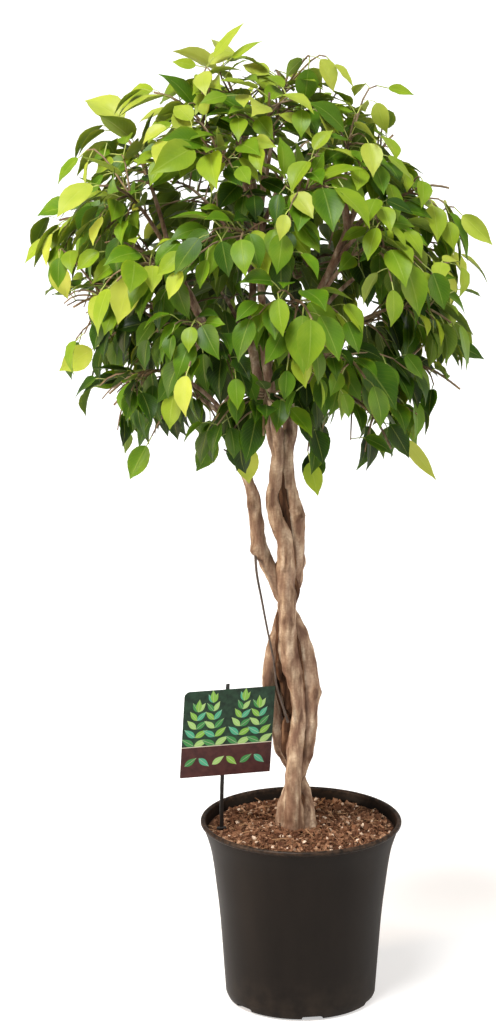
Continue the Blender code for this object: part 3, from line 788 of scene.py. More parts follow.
def push_apart(route, other, shifts, share):
    """Adds to the shifts of one stem whatever takes it clear of another."""
    for k, (near, far) in enumerate(zip(route, route[1:])):
        for between in (0.0, 0.5):
            point = near[0].lerp(far[0], between)
            distance, place, their_radius = nearest_on(other, point)
            lack = max(near[1], far[1]) + their_radius + STEM_GAP - distance
            if lack > 0 and point.z < BRAID_TOP:
                push = (point - place).normalized() * lack * share
                shifts[k] += push * (1 - between)
                shifts[k + 1] += push * between


def settle(routes, held=()):
    """Pushes stems that touch apart, a little at a time, as they do when they thicken together."""
    homes = {name: [point.copy() for point, _ in route] for name, route in routes.items()}
    for _ in range(SETTLE_ROUNDS):
        shifts = {name: [Vector() for _ in route] for name, route in routes.items()}
        for one, other in itertools.permutations(routes, 2):
            if one not in held:
                share = 0.7 if other in held else 0.35
                push_apart(routes[one], routes[other], shifts[one], share)
        for name, route in routes.items():
            moved = [p + s - h for (p, _), s, h in zip(route, shifts[name], homes[name])]
            for k, (_, radius) in enumerate(route):
                around = moved[max(k - 1, 0)] + moved[min(k + 1, len(moved) - 1)]
                eased = moved[k] * 0.8 + around * 0.1
                route[k] = (homes[name][k] + eased, radius)
    return routes


routes = settle({name: smooth_route(rows, STEM_STEP) for name, rows in STEM_ROUTES.items()})
root_route = settle({**routes, "aerial_root": smooth_route(ROOT_ROUTE, ROOT_STEP)},
                    held=tuple(routes))["aerial_root"]
print("stems:", {name: len(route) for name, route in routes.items()})

# %% [markdown]
# ## Wood as a rolled sheet
#
# A stick could be a curve with a round bevel, but bark needs points close together and a way to push
# each one. So a flat grid is added, its width is rolled round the route and its length laid along
# it, and the seam is merged. The same helper makes stems, limbs, twigs and the thin aerial root.


# %% Roll a grid into a stick
def carried_frames(spots):
    """Two directions across the route at each spot, carried along it without twisting."""
    ahead = np.gradient(spots, axis=0)
    ahead /= np.linalg.norm(ahead, axis=1)[:, None]
    side = np.cross(ahead[0], (0.0, 0.13, 0.99) if abs(ahead[0][2]) < 0.9 else (0.0, 1.0, 0.0))
    sides = []
    for way in ahead:
        side = side - way * side.dot(way)
        side /= np.linalg.norm(side)
        sides.append(side)
    sides = np.array(sides)
    return sides, np.cross(ahead, sides)


def rolled_stick(name, route, sides, relief=None):
    """A closed round stick along (place, radius) pairs, its surface moved by a relief rule."""
    start_clean()
    bpy.ops.mesh.primitive_grid_add(x_subdivisions=sides, y_subdivisions=len(route) - 1, size=1)
    stick = bpy.context.object
    flat = places_of(stick)
    row = np.rint((flat[:, 1] + 0.5) * (len(route) - 1)).astype(int)
    turn = (flat[:, 0] + 0.5) * 2 * math.pi
    spots = np.array([place for place, _ in route])
    across, through_it = carried_frames(spots)
    outward = np.cos(turn)[:, None] * across[row] + np.sin(turn)[:, None] * through_it[row]
    radius = np.array([radius for _, radius in route])[row]
    if relief:
        radius = radius + relief(spots[row], outward, radius)
    move_points(stick, spots[row] + outward * radius[:, None])
    edit_all()
    bpy.ops.mesh.remove_doubles(threshold=1e-6)
    bpy.ops.mesh.fill_holes(sides=0)
    face_outward()
    stick.data.shade_smooth()
    stick.name = name
    return stick


def finer(route, step):
    """The same route with a spot about every step."""
    return [(Vector(row[:3]), row[3]) for row in through([[*p, r] for p, r in route], step)]


# %% [markdown]
# Fig bark is smooth and pale, with shallow ridges that run up the stem, bands across it where leaves
# once sat, and knots where shoots were pruned off. The ridges are noise stretched along the stem,
# the knots are placed where they show, and each leaves a darker scar. A second number marks how
# near a point lies to the next stem, and the bark is darkened there with dark cork and painted
# shade.

# %% Bark relief
BARK_SIDES = 32
BARK_STEP = 0.0016
BARK_SWELL = 0.35 * MM
BARK_RIDGES = [(0.13, 150, 16), (0.07, 315, 33.6)]
BARK_LUMPS = [(0.15, 85, 85), (0.06, 190, 190)]
BARK_BENDS = [(0.10, 34, 34)]
BARK_BANDS = [(0.012, 20, 210)]
FUSE_REACH = 14.0 * MM
FUSE_BITE = 1.0 * MM
FUSE_LUMPS = [(0.5, 55, 55)]
FOOT_HEIGHT = 0.188
FOOT_FLARE = 0.16
FOOT_FADE = 0.011
KNOTS = [  # place in mm, reach in mm, height in mm, darkness
    ((-50, -9, 488), 5.5, 4.4, 0.50), ((-46, -12, 478), 4.5, 2.4, 0.95),
    ((-52, -9, 534), 5.0, 1.8, 0.70), ((0, -8, 524), 7.0, 2.6, 1.00),
    ((-13, -9, 556), 6.5, 1.4, 1.00), ((-30, -6, 506), 6.0, 1.0, 0.90),
    ((-4, -10, 442), 4.0, 4.2, 1.00), ((-3, -11, 376), 6.0, 0.6, 0.90),
    ((-25, -12, 394), 5.0, 0.8, 0.80), ((-16, -17, 363), 5.5, 1.2, 0.80),
    ((16, -3, 334), 5.0, 3.2, 0.80), ((-13, -15, 298), 5.0, 0.6, 0.85),
    ((12, -3, 265), 4.0, 1.4, 0.80), ((6, -6, 300), 5.0, 1.4, 0.50),
    ((-12, -17, 412), 4.5, 1.2, 0.55), ((2, 12, 470), 6.0, 2.0, 0.70),
    ((-14, 38, 430), 6.0, 2.0, 0.70), ((-6, 38, 250), 6.0, 2.0, 0.60),
    ((-22, -10, 610), 5.0, 1.6, 0.70), ((-17, -17, 470), 4.0, 0.9, 0.50),
    ((-9, -15, 238), 5.0, 0.9, 0.60), ((-58, -10, 572), 4.0, 1.4, 0.60),
]
KNOT_LUMPS = [(0.5, 420, 420)]
SCAR_REACH = 0.9
SCAR_STRENGTH = 1.5
SCAR_PATCHES = [(0.9, 300, 300)]
CLEFT_REACH = 3.4 * MM
CLEFT_PATCHES = [(0.6, 130, 45)]


def wood_near(routes_near):
    """A search tree over the other stems' axes, and the places and radii that it finds."""
    spots = [spot for route in routes_near for spot in finer(route, 0.003)]
    tree = KDTree(len(spots))
    for k, (place, _) in enumerate(spots):
        tree.insert(place, k)
    tree.balance()
    return tree, spots


def gap_to_wood(near, point):
    """How far a point is from the bark of the next stem, and the nearest place in that stem."""
    tree, spots = near
    _, nearest, distance = tree.find(point)
    place, radius = spots[nearest]
    return distance - radius, place


def grown_over(near, point, outward):
    """How far a point reaches over to the next stem, where the two have grown together."""
    gap, place = gap_to_wood(near, point)
    gap = max(0.0, gap)
    facing = Vector(outward).dot((place - Vector(point)).normalized())
    if gap >= FUSE_REACH or facing <= 0:
        return 0.0
    share = (1 - (gap / FUSE_REACH) ** 2) * facing ** 1.5
    return share * (gap / 2 + FUSE_BITE) * (0.9 + waves(FUSE_LUMPS, *point))


def knot_bump(places, knot, reach):
    """1 at the middle of a knot, falling off smoothly with distance. Knot and reach are in mm."""
    far = np.linalg.norm(places - np.array(knot) * MM, axis=1)
    return np.exp(-(far / (reach * MM)) ** 2)


# %% Shape and mark the bark
def bark_relief(spots, outward, radius, near):
    """How far each point of a stem stands out: ridges, swellings, knots, foot and grown joints."""
    skin = spots + outward * radius[:, None]
    lift = np.array([
        thick * (waves(BARK_RIDGES + BARK_LUMPS, *point) + waves(BARK_BENDS, *spot)
                 + waves(BARK_BANDS, spot[0], spot[1], point[2])) + grown_over(near, point, way)
        for spot, point, way, thick in zip(spots, skin, outward, radius)
    ])
    ragged = np.array([1 + waves(KNOT_LUMPS, *point) for point in skin])
    for place, reach, height, _ in KNOTS:
        lift += height * MM * ragged * knot_bump(skin, place, reach)
    above_foot = np.maximum(0.0, spots[:, 2] - FOOT_HEIGHT)
    lift += radius * FOOT_FLARE * np.exp(-above_foot / FOOT_FADE)
    return lift + BARK_SWELL


def mark_bark(obj, routes_near):
    """Marks the knot scars, and the clefts between stems for dark cork and painted shade."""
    places = places_of(obj)
    scar = np.zeros(len(places))
    for place, reach, _, dark in KNOTS:
        scar = np.maximum(scar, SCAR_STRENGTH * dark * knot_bump(places, place, SCAR_REACH * reach))
    patchy = np.array([0.7 + waves(SCAR_PATCHES, *place) for place in places])
    mark(obj, "scar", np.clip(scar * patchy, 0, 1))
    near = wood_near(routes_near)
    # How near each point lies to the next stem: dark cork and painted shade in the clefts.
    cleft_cork_and_shade = []
    for place in places:
        gap = gap_to_wood(near, place)[0] - BARK_SWELL
        reach = CLEFT_REACH * (1 + waves(CLEFT_PATCHES, *place))
        cleft_cork_and_shade.append(min(1.0, max(0.0, 1 - gap / reach)))
    mark(obj, "cleft_cork_and_shade", cleft_cork_and_shade)


# %% [markdown]
# ## Limbs and leaves, grown by the same rule
#
# The plain model grows its head by a rule: one limb for each of forty directions, bent until it is
# clear of the rest, then eight leaves along its outer part, each turned until it touches nothing.
# Leaves could be scattered by a particle system, but then none would lie where the plain model has
# it. The same rule with the same seed gives the same places, so each fine leaf lies where its plain
# one is.

# %% Sizes of the head
HEAD_CENTRE = Vector((-0.041, 0.0, 0.779))
HEAD_REACH = Matrix.Diagonal((0.203, 0.190, 0.207))
HEAD_TOP_POWER = 1.65
HEAD_BASE_POWER = 2.5
HEAD_SEED = 11
LIMBS = 40
LOWEST_LIMB = -0.78
LEADER_START = 0.58
LIMB_RADIUS = 0.0026
JOINT_RADIUS = 0.0019
TIP_RADIUS = 0.0011
BARE_SHARE = 0.42
JOINT_GAP = 0.7 * MM
LIMB_TRIES = 80
LOWEST_FORK = 0.625
FORK_DROP = 0.075
WOOD_CLEARANCE = 0.0012


# %% Grow the limbs
def bezier_at(points, t):
    """The place at a share of a Bezier curve with four control points."""
    a, b, c, d = points
    s = 1 - t
    return a * s ** 3 + b * 3 * s * s * t + c * 3 * s * t * t + d * t ** 3


def bezier(points, count, start=0.0, end=1.0):
    """Places spread over part of a Bezier curve."""
    return [bezier_at(points, start + (end - start) * k / (count - 1)) for k in range(count)]


def head_directions():
    """Directions spread evenly over the head, leaving out the bottom where the trunk enters."""
    golden = math.pi * (3 - math.sqrt(5))
    directions = []
    for k in range(LIMBS):
        z = 1 - (1 - LOWEST_LIMB) * (k + 0.5) / LIMBS
        power = HEAD_TOP_POWER if z > 0 else HEAD_BASE_POWER
        ring = (1 - abs(z) ** power) ** (1 / power)
        directions.append(Vector((ring * math.cos(golden * k), ring * math.sin(golden * k), z)))
    return directions


def limb_curve(leader, tip, outward, wander):
    """Control points of one limb: out of the leader, up, and over to its tip."""
    fork = tip.z - FORK_DROP * (1 + 0.6 * outward.z)
    height = min(max(fork, LOWEST_FORK), leader[-1][0].z - 0.01)
    start = min(leader, key=lambda spot: abs(spot[0].z - height))[0]
    length = (tip - start).length
    out = (tip - start).normalized()
    rise = UP * length * (0.30 - 0.12 * outward.z)
    first = start + out * length * 0.30 + rise * 0.7 + wander * 0.6
    second = tip - out * length * 0.30 + rise + wander
    return [start, first, second, tip]


def spots_on(route, steps=4):
    """Close-set places along a stick, for testing how near another one comes."""
    spots = []
    for (a, ra), (b, rb) in zip(route, route[1:]):
        spots += [(a.lerp(b, k / steps), ra + (rb - ra) * k / steps) for k in range(steps)]
    return spots + [route[-1]]


def clear_of(stick, others):
    """True where a stick keeps clear of every other stick in the list."""
    for point, radius in spots_on(stick):
        for route in others:
            if nearest_on(route, point)[0] < radius + route[0][1] + WOOD_CLEARANCE:
                return False
    return True


def taper(places, start, end):
    """Places with a radius that runs evenly from the first to the last."""
    count = len(places) - 1
    return [(place, start + (end - start) * k / count) for k, place in enumerate(places)]


def grow_limbs(routes, rng):
    """One limb for each direction, from the nearest leader, bent until it is clear of the rest."""
    limbs = []
    leaders = {name: [spot for spot in route if spot[0].z > LEADER_START]
               for name, route in routes.items()}
    for outward in head_directions():
        tip = HEAD_CENTRE + HEAD_REACH @ outward * rng.uniform(0.90, 1.10)
        for attempt in range(LIMB_TRIES):
            loose = 0.006 + 0.045 * attempt / LIMB_TRIES
            wander = Vector(rng.uniform(-loose, loose) for _ in range(3))
            order = sorted(routes, key=lambda name: nearest_on(routes[name], tip)[0])
            stem = order[0] if attempt < LIMB_TRIES // 2 else order[1]
            points = limb_curve(routes[stem], tip, outward, wander)
            bare = taper(bezier(points, 3, 0.0, BARE_SHARE), LIMB_RADIUS, JOINT_RADIUS)
            leafy = taper(bezier(points, 5, BARE_SHARE, 1.0), JOINT_RADIUS, TIP_RADIUS)
            gap = (leafy[1][0] - leafy[0][0]).normalized() * JOINT_GAP
            leafy[0] = (leafy[0][0] + gap, JOINT_RADIUS)
            foreign_wood = [leaders[name] for name in leaders if name != stem]
            foreign_wood += [limb["bare"] for limb in limbs if limb["stem"] != stem]
            own_wood = [leaders[stem]] + [limb["bare"] for limb in limbs if limb["stem"] == stem]
            sprays = [limb["leafy"] for limb in limbs]
            if clear_of(bare, foreign_wood + sprays) and clear_of(leafy, foreign_wood + own_wood
                                                                  + sprays):
                limbs.append({"stem": stem, "bare": bare, "leafy": leafy, "points": points})
                break
    return limbs


head_rng = random.Random(HEAD_SEED)
limbs = grow_limbs(routes, head_rng)
print("limbs:", len(limbs))

# %% Sizes of the leaves
LEAVES_PER_SPRAY = 8
TIP_LEAF_SHARE = 0.98
FIRST_LEAF_SHARE = 0.06
LEAF_LENGTH = 0.050
LEAF_WIDTH = 0.033
LEAF_THICKNESS = 0.0011
LEAF_FOLD = 0.22
LEAF_ARCH = 0.16
LEAF_SIZES = (0.78, 1.16)
LEAF_DROOP = (0.75, 1.35)
CROWDED_SIZE = 0.86
CROWDED_TRY = 6
LEAF_TRIES = 18
LEAST_BEND = 0.2
LEAF_CLEARANCE = 0.0007
PETIOLE_LENGTH = 0.014
PETIOLE_RADIUS = 0.0006
BLADE_STATIONS = [(0.20, 0.44), (0.56, 0.42)]


# %% The plain leaf that the rule tests with
def blade_frame(direction, normal):
    """Directions across a leaf and out of its upper face."""
    side = direction.cross(normal).normalized()
    return side, side.cross(direction).normalized()


def leaf_mesh(leaf, swell=0.0):
    """Points and faces of one closed leaf: a three-sided petiole and a folded, arched blade."""
    side, up = blade_frame(leaf["direction"], leaf["normal"])
    stalk = PETIOLE_RADIUS + swell
    points = []
    for centre in (leaf["root"], leaf["base"]):
        points += [centre - side * stalk + up * stalk * 0.5,
                   centre + side * stalk + up * stalk * 0.5,
                   centre - up * stalk]
    faces = [(0, 1, 2), (0, 3, 4, 1), (1, 4, 5, 2), (2, 5, 3, 0)]
    rings = []
    for along, half in BLADE_STATIONS:
        rise = -leaf["length"] * leaf["arch"] * along ** 2
        middle = leaf["base"] + leaf["direction"] * leaf["length"] * along + up * rise
        reach = leaf["width"] * half + swell
        edge = up * reach * LEAF_FOLD
        first = len(points)
        points += [middle - side * reach + edge,
                   middle + up * swell,
                   middle + side * reach + edge,
                   middle - up * (LEAF_THICKNESS + swell)]
        rings.append((first, first + 1, first + 2, first + 3))
    left, top, right, under = rings[0]
    faces += [(3, left, top), (3, top, 4), (4, top, right),
              (3, 5, left), (5, under, left), (5, right, under), (5, 4, right)]
    for (l0, t0, r0, u0), (l1, t1, r1, u1) in zip(rings, rings[1:]):
        faces += [(l0, l1, t0), (l1, t1, t0), (t0, t1, r0), (t1, r1, r0),
                  (l0, u0, l1), (l1, u0, u1), (u0, r0, u1), (u1, r0, r1)]
    points.append(leaf["base"] + leaf["direction"] * (leaf["length"] + swell)
                  - up * leaf["length"] * leaf["arch"])
    tip = len(points) - 1
    left, top, right, under = rings[-1]
    faces += [(left, tip, top), (top, tip, right), (left, under, tip), (under, right, tip)]
    return points, faces


# %% Place one leaf on a twig
# Shares of the way along the twig, to its side and out of the head.
STALK_WAY = (0.50, 0.85, 0.30)
BLADE_WAY = (0.40, 0.45, 0.32)
LEAF_STRAY = 0.28
MORE_STRAY = 0.05
TOP_LIFT = 0.65
TIP_LEAF_SIDEWAYS = 0.1
NORMAL_OUTWARD = 0.9
NORMAL_UP = 0.5
NORMAL_STRAY = 1.2
PETIOLE_SIZES = (0.8, 1.15)
WIDTH_SIZES = (0.92, 1.06)
ARCH_SIZES = (0.5, 1.3)


def stance(path, share, sign):
    """A place on a stick, and the ways ahead, out of the head and to one side there."""
    place = share * (len(path) - 1)
    k = min(int(place), len(path) - 2)
    root = path[k][0].lerp(path[k + 1][0], place - k)
    forward = (path[k + 1][0] - path[k][0]).normalized()
    outward = (root - HEAD_CENTRE).normalized()
    return root, forward, outward, forward.cross(outward).normalized() * sign


def leaf_on(limb, share, side_sign, rng, attempt):
    """One leaf at a share of the spray's length, hanging outwards, turned a bit at each retry."""
    root, forward, outward, across = stance(limb["leafy"], share, side_sign)
    loose = LEAF_STRAY + MORE_STRAY * attempt
    stray = Vector(rng.uniform(-loose, loose) for _ in range(3))
    if share == TIP_LEAF_SHARE:
        across *= TIP_LEAF_SIDEWAYS
    ahead, aside, out = STALK_WAY
    stalk = (forward * ahead + across * aside + outward * out + stray).normalized()
    droop = rng.uniform(*limb.get("droop", LEAF_DROOP)) * (1.0 - TOP_LIFT * max(0.0, outward.z))
    ahead, aside, out = BLADE_WAY
    direction = forward * ahead + across * aside + outward * out - UP * droop + stray
    normal = (outward * NORMAL_OUTWARD + UP * limb.get("facing_up", NORMAL_UP)
              + stray * NORMAL_STRAY).normalized()
    size = rng.uniform(*LEAF_SIZES) * limb.get("leaf_scale", 1.0)
    size *= 1.0 if attempt < CROWDED_TRY else CROWDED_SIZE
    return {
        "root": root,
        "base": root + stalk * PETIOLE_LENGTH * rng.uniform(*PETIOLE_SIZES),
        "direction": direction.normalized(),
        "normal": normal,
        "length": LEAF_LENGTH * size,
        "width": LEAF_WIDTH * size * rng.uniform(*WIDTH_SIZES),
        "arch": LEAF_ARCH * rng.uniform(*ARCH_SIZES),
    }


# %% Grow the leaves, each clear of the rest
def stick_tree(route):
    """A search tree of a stick, as a square tube a little wider than the wood."""
    points = []
    faces = []
    for place, radius in route:
        reach = radius + LEAF_CLEARANCE
        corners = ((reach, 0, 0), (0, reach, 0), (-reach, 0, 0), (0, -reach, 0), (0, 0, reach))
        points += [place + Vector(corner) for corner in corners]
    for first in range(0, len(points) - 5, 5):
        for k in range(4):
            a, b = first + k, first + (k + 1) % 4
            faces.append((a, b, b + 5, a + 5))
    return BVHTree.FromPolygons(points, faces)


def try_leaf(limb, owner, share, side_sign, rng, tries, placed, wood, allowed=None):
    """Turns a leaf until it is clear of leaves and wood, then notes it. Says if it found room."""
    for attempt in range(tries):
        leaf = leaf_on(limb, share, side_sign, rng, attempt)
        if (leaf["base"] - leaf["root"]).normalized().dot(leaf["direction"]) < LEAST_BEND:
            continue
        if allowed and not allowed(leaf):
            continue
        points, faces = leaf_mesh(leaf, LEAF_CLEARANCE)
        tree = BVHTree.FromPolygons(points, faces)
        blade = BVHTree.FromPolygons(points, faces[4:])
        near = [other for centre, other in placed
                if (centre - leaf["base"]).length < 2.6 * LEAF_LENGTH]
        if any(tree.overlap(other) for other in near):
            continue
        if any((blade if number == owner else tree).overlap(other) for number, other in wood):
            continue
        placed.append((leaf["base"], tree))
        limb["leaves"].append(leaf)
        return True
    return False


placed = []
wood = [(None, stick_tree([spot for spot in route if spot[0].z > 0.5]))
        for route in routes.values()]
for number, limb in enumerate(limbs):
    wood.append((None, stick_tree(limb["bare"])))
    wood.append((number, stick_tree(limb["leafy"])))
    limb["leaves"] = []
for turn in range(LEAVES_PER_SPRAY):
    back = turn / (LEAVES_PER_SPRAY - 1)
    share = TIP_LEAF_SHARE + (FIRST_LEAF_SHARE - TIP_LEAF_SHARE) * back
    for number, limb in enumerate(limbs):
        side_sign = 1 if (turn + number) % 2 else -1
        try_leaf(limb, number, share, side_sign, head_rng, LEAF_TRIES, placed, wood)
print("leaves of the plain model:", len(placed))

# %% [markdown]
# ## More twigs, to fill the head
#
# A real head of this size holds several times as many leaves as the plain model. Each limb gets
# short side twigs that turn out towards the light, and each twig carries alternate leaves down to
# its tip. They follow the same test, so they only fill the gaps, and a leaf that would leave the
# round outline of the head or hide the fork isn't grown.

# %% Sizes of the side twigs
TWIG_SEED = 23
TWIGS_PER_LIMB = 12
FIRST_TWIG_SHARE = 0.30
TWIGGED_SHARE = 0.62
TWIG_LENGTHS = (0.030, 0.075)
TWIG_RADII = (0.0012, 0.0007)
TWIG_TRIES = 6
TWIG_LEAF_SHARES = (TIP_LEAF_SHARE, 0.78, 0.58, 0.38, 0.18)
TWIG_LEAF_SCALE = 0.76
TWIG_DROOP = (0.30, 1.15)
TWIG_FACING_UP = 1.0
FORK_WINDOW = (Vector((-0.052, -0.26, 0.500)), Vector((0.008, 0.02, 0.655)))
OUTLINE_GAPS = [  # left, right, low and high edge in mm, as seen from the front and a bit above
    (-48, 15, 981, 1020), (-265, -211, 693, 752), (-217, -181, 585, 657), (-163, -110, 555, 597),
    (-90, -66, 555, 592), (85, 137, 535, 571), (137, 180, 585, 657), (97, 140, 896, 950),
    (127, 186, 838, 896), (22, 60, 575, 612),
]
VIEW_SLOPE = 0.266
HEAD_LIMIT = 1.10
SHOULDER_TRIM = 0.07
LOWEST_TIP = 0.54
TWIG_LEAF_TRIES = 12


# %% Where a leaf may hang
def depth_in_head(place):
    """0 at the middle of the head and 1 at its outline."""
    x, y, z = (HEAD_REACH.inverted() @ (place - HEAD_CENTRE))
    power = HEAD_TOP_POWER if z > 0 else HEAD_BASE_POWER
    return (math.hypot(x, y) ** power + abs(z) ** power) ** (1 / power)


def in_fork_window(place):
    """True in front of the fork, where the photo shows bare wood."""
    low, high = FORK_WINDOW
    return all(low[k] < place[k] < high[k] for k in range(3))


def tip_of(leaf):
    """The place of a leaf's tip."""
    return leaf["base"] + leaf["direction"] * leaf["length"]


def in_gap(leaf):
    """True where a leaf would hang in front of the fork or in a gap of the head's outline."""
    tip = tip_of(leaf)
    if in_fork_window(tip):
        return True
    for place in (tip, leaf["base"].lerp(tip, 0.5)):
        x, height = place.x / MM, (place.z + place.y * VIEW_SLOPE) / MM
        if any(x0 < x < x1 and low < height < high for x0, x1, low, high in OUTLINE_GAPS):
            return True
    return False


def inside_head(leaf):
    """True where a leaf stays in the head's outline and out of its gaps."""
    tip = tip_of(leaf)
    if in_gap(leaf) or in_fork_window(leaf["base"]):
        return False
    on_shoulder = tip.x > HEAD_CENTRE.x and tip.z > HEAD_CENTRE.z
    limit = HEAD_LIMIT - SHOULDER_TRIM if on_shoulder else HEAD_LIMIT
    return depth_in_head(tip) < limit and tip.z > LOWEST_TIP


# %% Lay out one side twig
TWIG_WAY = (0.4, 0.8, 0.5)
TWIG_STRAY = 0.5
TWIG_SAG = 0.22
TWIG_BENDS = ((0.4, 0.10), (0.75, 0.05))


def side_twig(limb, share, sign, rng):
    """A short twig that leaves the limb sideways and turns outwards, or None if it gets too far."""
    start, forward, outward, across = stance(limb["bare"] + limb["leafy"][1:], share, sign)
    stray = Vector(rng.uniform(-TWIG_STRAY, TWIG_STRAY) for _ in range(3))
    ahead, aside, out = TWIG_WAY
    heading = (forward * ahead + across * aside + outward * out + stray).normalized()
    length = rng.uniform(*TWIG_LENGTHS)
    tip = start + heading * length - UP * length * TWIG_SAG
    if depth_in_head(tip) > 1.0:
        return None
    bends = [start + heading * length * along + UP * length * rise for along, rise in TWIG_BENDS]
    return {"leafy": taper(bezier([start, *bends, tip], 5), *TWIG_RADII), "leaves": [],
            "leaf_scale": TWIG_LEAF_SCALE, "droop": TWIG_DROOP, "facing_up": TWIG_FACING_UP}


# %% [markdown]
# ## Young shoots
#
# A head that was clipped some weeks ago has a few young shoots that stand out of its round outline,
# and a few that have turned inwards and fill holes behind the fork. Each is a longer twig that
# leaves the nearest limb and reaches to one listed leaf, with smaller leaves along its way.
# Leaves moved out there by hand would hang without wood. The shoots grow first, so that the side
# twigs leave them room.

# %% Sizes of the long shoots
SHOOT_LEAVES = [  # base and tip of the outermost leaf in mm, and its width against its length
    ((-89, -20, 996), (-60, -20, 1034), 0.36), ((-71, -20, 995), (-42, -20, 1016), 0.34),
    ((-107, -10, 986), (-132, -10, 991), 0.5), ((-258, -10, 811), (-282, -10, 786), 0.5),
    ((-224, -20, 895), (-250, -20, 870), 0.6), ((-212, -30, 703), (-248, -30, 680), 0.7),
    ((146, 0, 836), (172, 0, 786), 0.55), ((160, 10, 832), (192, 0, 802), 0.5),
    ((84, 0, 962), (112, 0, 956), 0.5), ((151, 0, 704), (187, 0, 686), 0.45),
    ((-157, -60, 611), (-177, -60, 573), 0.6), ((-91, -80, 626), (-105, -80, 584), 0.6),
    ((7, -60, 594), (15, -60, 556), 0.6), ((103, -20, 607), (140, -20, 563), 0.35),
    ((-242, -50, 796), (-238, -50, 755), 0.65), ((4, -30, 985), (0, -30, 948), 0.75),
    ((30, -20, 988), (52, -20, 966), 0.6), ((-57, -80, 618), (-56, -80, 572), 0.62),
    ((-79, 60, 724), (-72, 60, 676), 0.66), ((-66, 60, 764), (-60, 60, 728), 0.66),
    ((-12, 50, 760), (-6, 50, 722), 0.66), ((-28, 70, 668), (-20, 70, 628), 0.6),
    ((-44, 70, 670), (-50, 70, 632), 0.6), ((-8, 75, 672), (-2, 75, 636), 0.6),
]
SHOOT_SEED = 5
SHOOT_STALK = 0.012
SHOOT_TURN_IN = 0.20
SHOOT_LIFT = (0.35, 0.06)
SHOOT_RUN_OUT = 0.2
SHOOT_FACING = Vector((0, -0.6, 0.6))
SHOOT_OUTWARD = 0.5
SHOOT_RADII = (0.0013, 0.0008)
SHOOT_LEAF_SHARES = (0.82, 0.60, 0.38)
SHOOT_ARCH = 0.08
SHOOT_DEPTH = 0.8
SHOOT_YOUTH_AND_LIGHT = 0.72


# %% Grow the long shoots
def long_shoot(base, tip, wide):
    """The nearest limb, and a twig that reaches from it to a given leaf."""
    ahead = (tip - base).normalized()
    root = base - ahead * SHOOT_STALK
    inner = root.lerp(HEAD_CENTRE, SHOOT_TURN_IN)
    limb = min(limbs, key=lambda limb: nearest_on(limb["leafy"], inner)[0])
    start = nearest_on(limb["leafy"], inner)[1]
    length = (root - start).length
    along, rise = SHOOT_LIFT
    points = [start, start.lerp(root, along) + UP * length * rise,
              root - ahead * length * SHOOT_RUN_OUT, root]
    outward = (base - HEAD_CENTRE).normalized()
    leaf = {"root": root, "base": base, "direction": ahead, "length": (tip - base).length,
            "normal": (outward * SHOOT_OUTWARD + SHOOT_FACING).normalized(),
            "width": (tip - base).length * wide, "arch": SHOOT_ARCH}
    # Outermost shoot leaves get a high number: young growth and painted light.
    if depth_in_head(base) > SHOOT_DEPTH:
        leaf["youth"] = SHOOT_YOUTH_AND_LIGHT
    return limb, {"leafy": taper(bezier(points, 6), *SHOOT_RADII), "leaves": [leaf],
                  "leaf_scale": TWIG_LEAF_SCALE}


shoot_rng = random.Random(SHOOT_SEED)
for limb in limbs:
    limb["twigs"] = []
for base, tip, wide in SHOOT_LEAVES:
    limb, shoot = long_shoot(Vector(base) * MM, Vector(tip) * MM, wide)
    limb["twigs"].append(shoot)
    outermost = shoot["leaves"][0]
    placed.append((outermost["base"], BVHTree.FromPolygons(*leaf_mesh(outermost))))
    for k, share in enumerate(SHOOT_LEAF_SHARES):
        try_leaf(shoot, None, share, 1 if k % 2 else -1, shoot_rng, TWIG_LEAF_TRIES, placed, wood,
                 inside_head)
print("long shoots:", len(SHOOT_LEAVES), "leaves so far:", len(placed))

# %% Grow the side twigs in the room that is left
twig_rng = random.Random(TWIG_SEED)
for number, limb in enumerate(limbs):
    for k in range(TWIGS_PER_LIMB):
        share = FIRST_TWIG_SHARE + TWIGGED_SHARE * (k + twig_rng.random()) / TWIGS_PER_LIMB
        for _ in range(TWIG_TRIES):
            twig = side_twig(limb, share, 1 if k % 2 else -1, twig_rng)
            if twig and not any(stick_tree(twig["leafy"][1:]).overlap(tree) for _, tree in placed):
                limb["twigs"].append(twig)
                break
for turn, share in enumerate(TWIG_LEAF_SHARES):
    for number, limb in enumerate(limbs):
        for k, twig in enumerate(limb["twigs"]):
            try_leaf(twig, None, share, 1 if (turn + k) % 2 else -1, twig_rng,
                     TWIG_LEAF_TRIES, placed, wood, inside_head)
print("side twigs:", sum(len(limb["twigs"]) for limb in limbs), "leaves in all:", len(placed))

# %% [markdown]
# ## Leaf finishes
#
# New leaves at the outside are yellow-green, grown ones mid green, and old ones inside the head
# nearly black-green and glossy. The same number also paints light and shade: leaves on top and at
# the outside are painted lighter, and leaves inside and below the middle darker, as painted shade.
# Each copy carries its age together with painted light as one number, and one material turns the
# number into a colour. The midrib and the fine side veins follow the leaf's UV map, because they
# have to bend with the blade. The lower side is paler and matt.

# %% The veins, as a node group
vein_group, given, result = new_group(
    "veins", [("UV", "V"), ("Count", "F"), ("Slant", "F")], [("Midrib", "F"), ("Side", "F")])
split = put(vein_group, "ShaderNodeSeparateXYZ", {0: given.outputs["UV"]})
off_middle = sums(vein_group, "ABSOLUTE", sums(vein_group, "SUBTRACT", split.outputs["X"], 0.5))
midrib = sums(vein_group, "MULTIPLY_ADD", off_middle, -28.0, 1.0, clamp=True)
slanted = sums(vein_group, "MULTIPLY", off_middle, given.outputs["Slant"])
ahead = sums(vein_group, "SUBTRACT", split.outputs["Y"], slanted)
turns = sums(vein_group, "MULTIPLY", ahead, given.outputs["Count"])
wave = sums(vein_group, "SINE", sums(vein_group, "MULTIPLY", turns, 2 * math.pi))
side_vein = sums(vein_group, "MULTIPLY_ADD", wave, 2.5, -1.6, clamp=True)
feed(vein_group, result, Midrib=midrib, Side=side_vein)


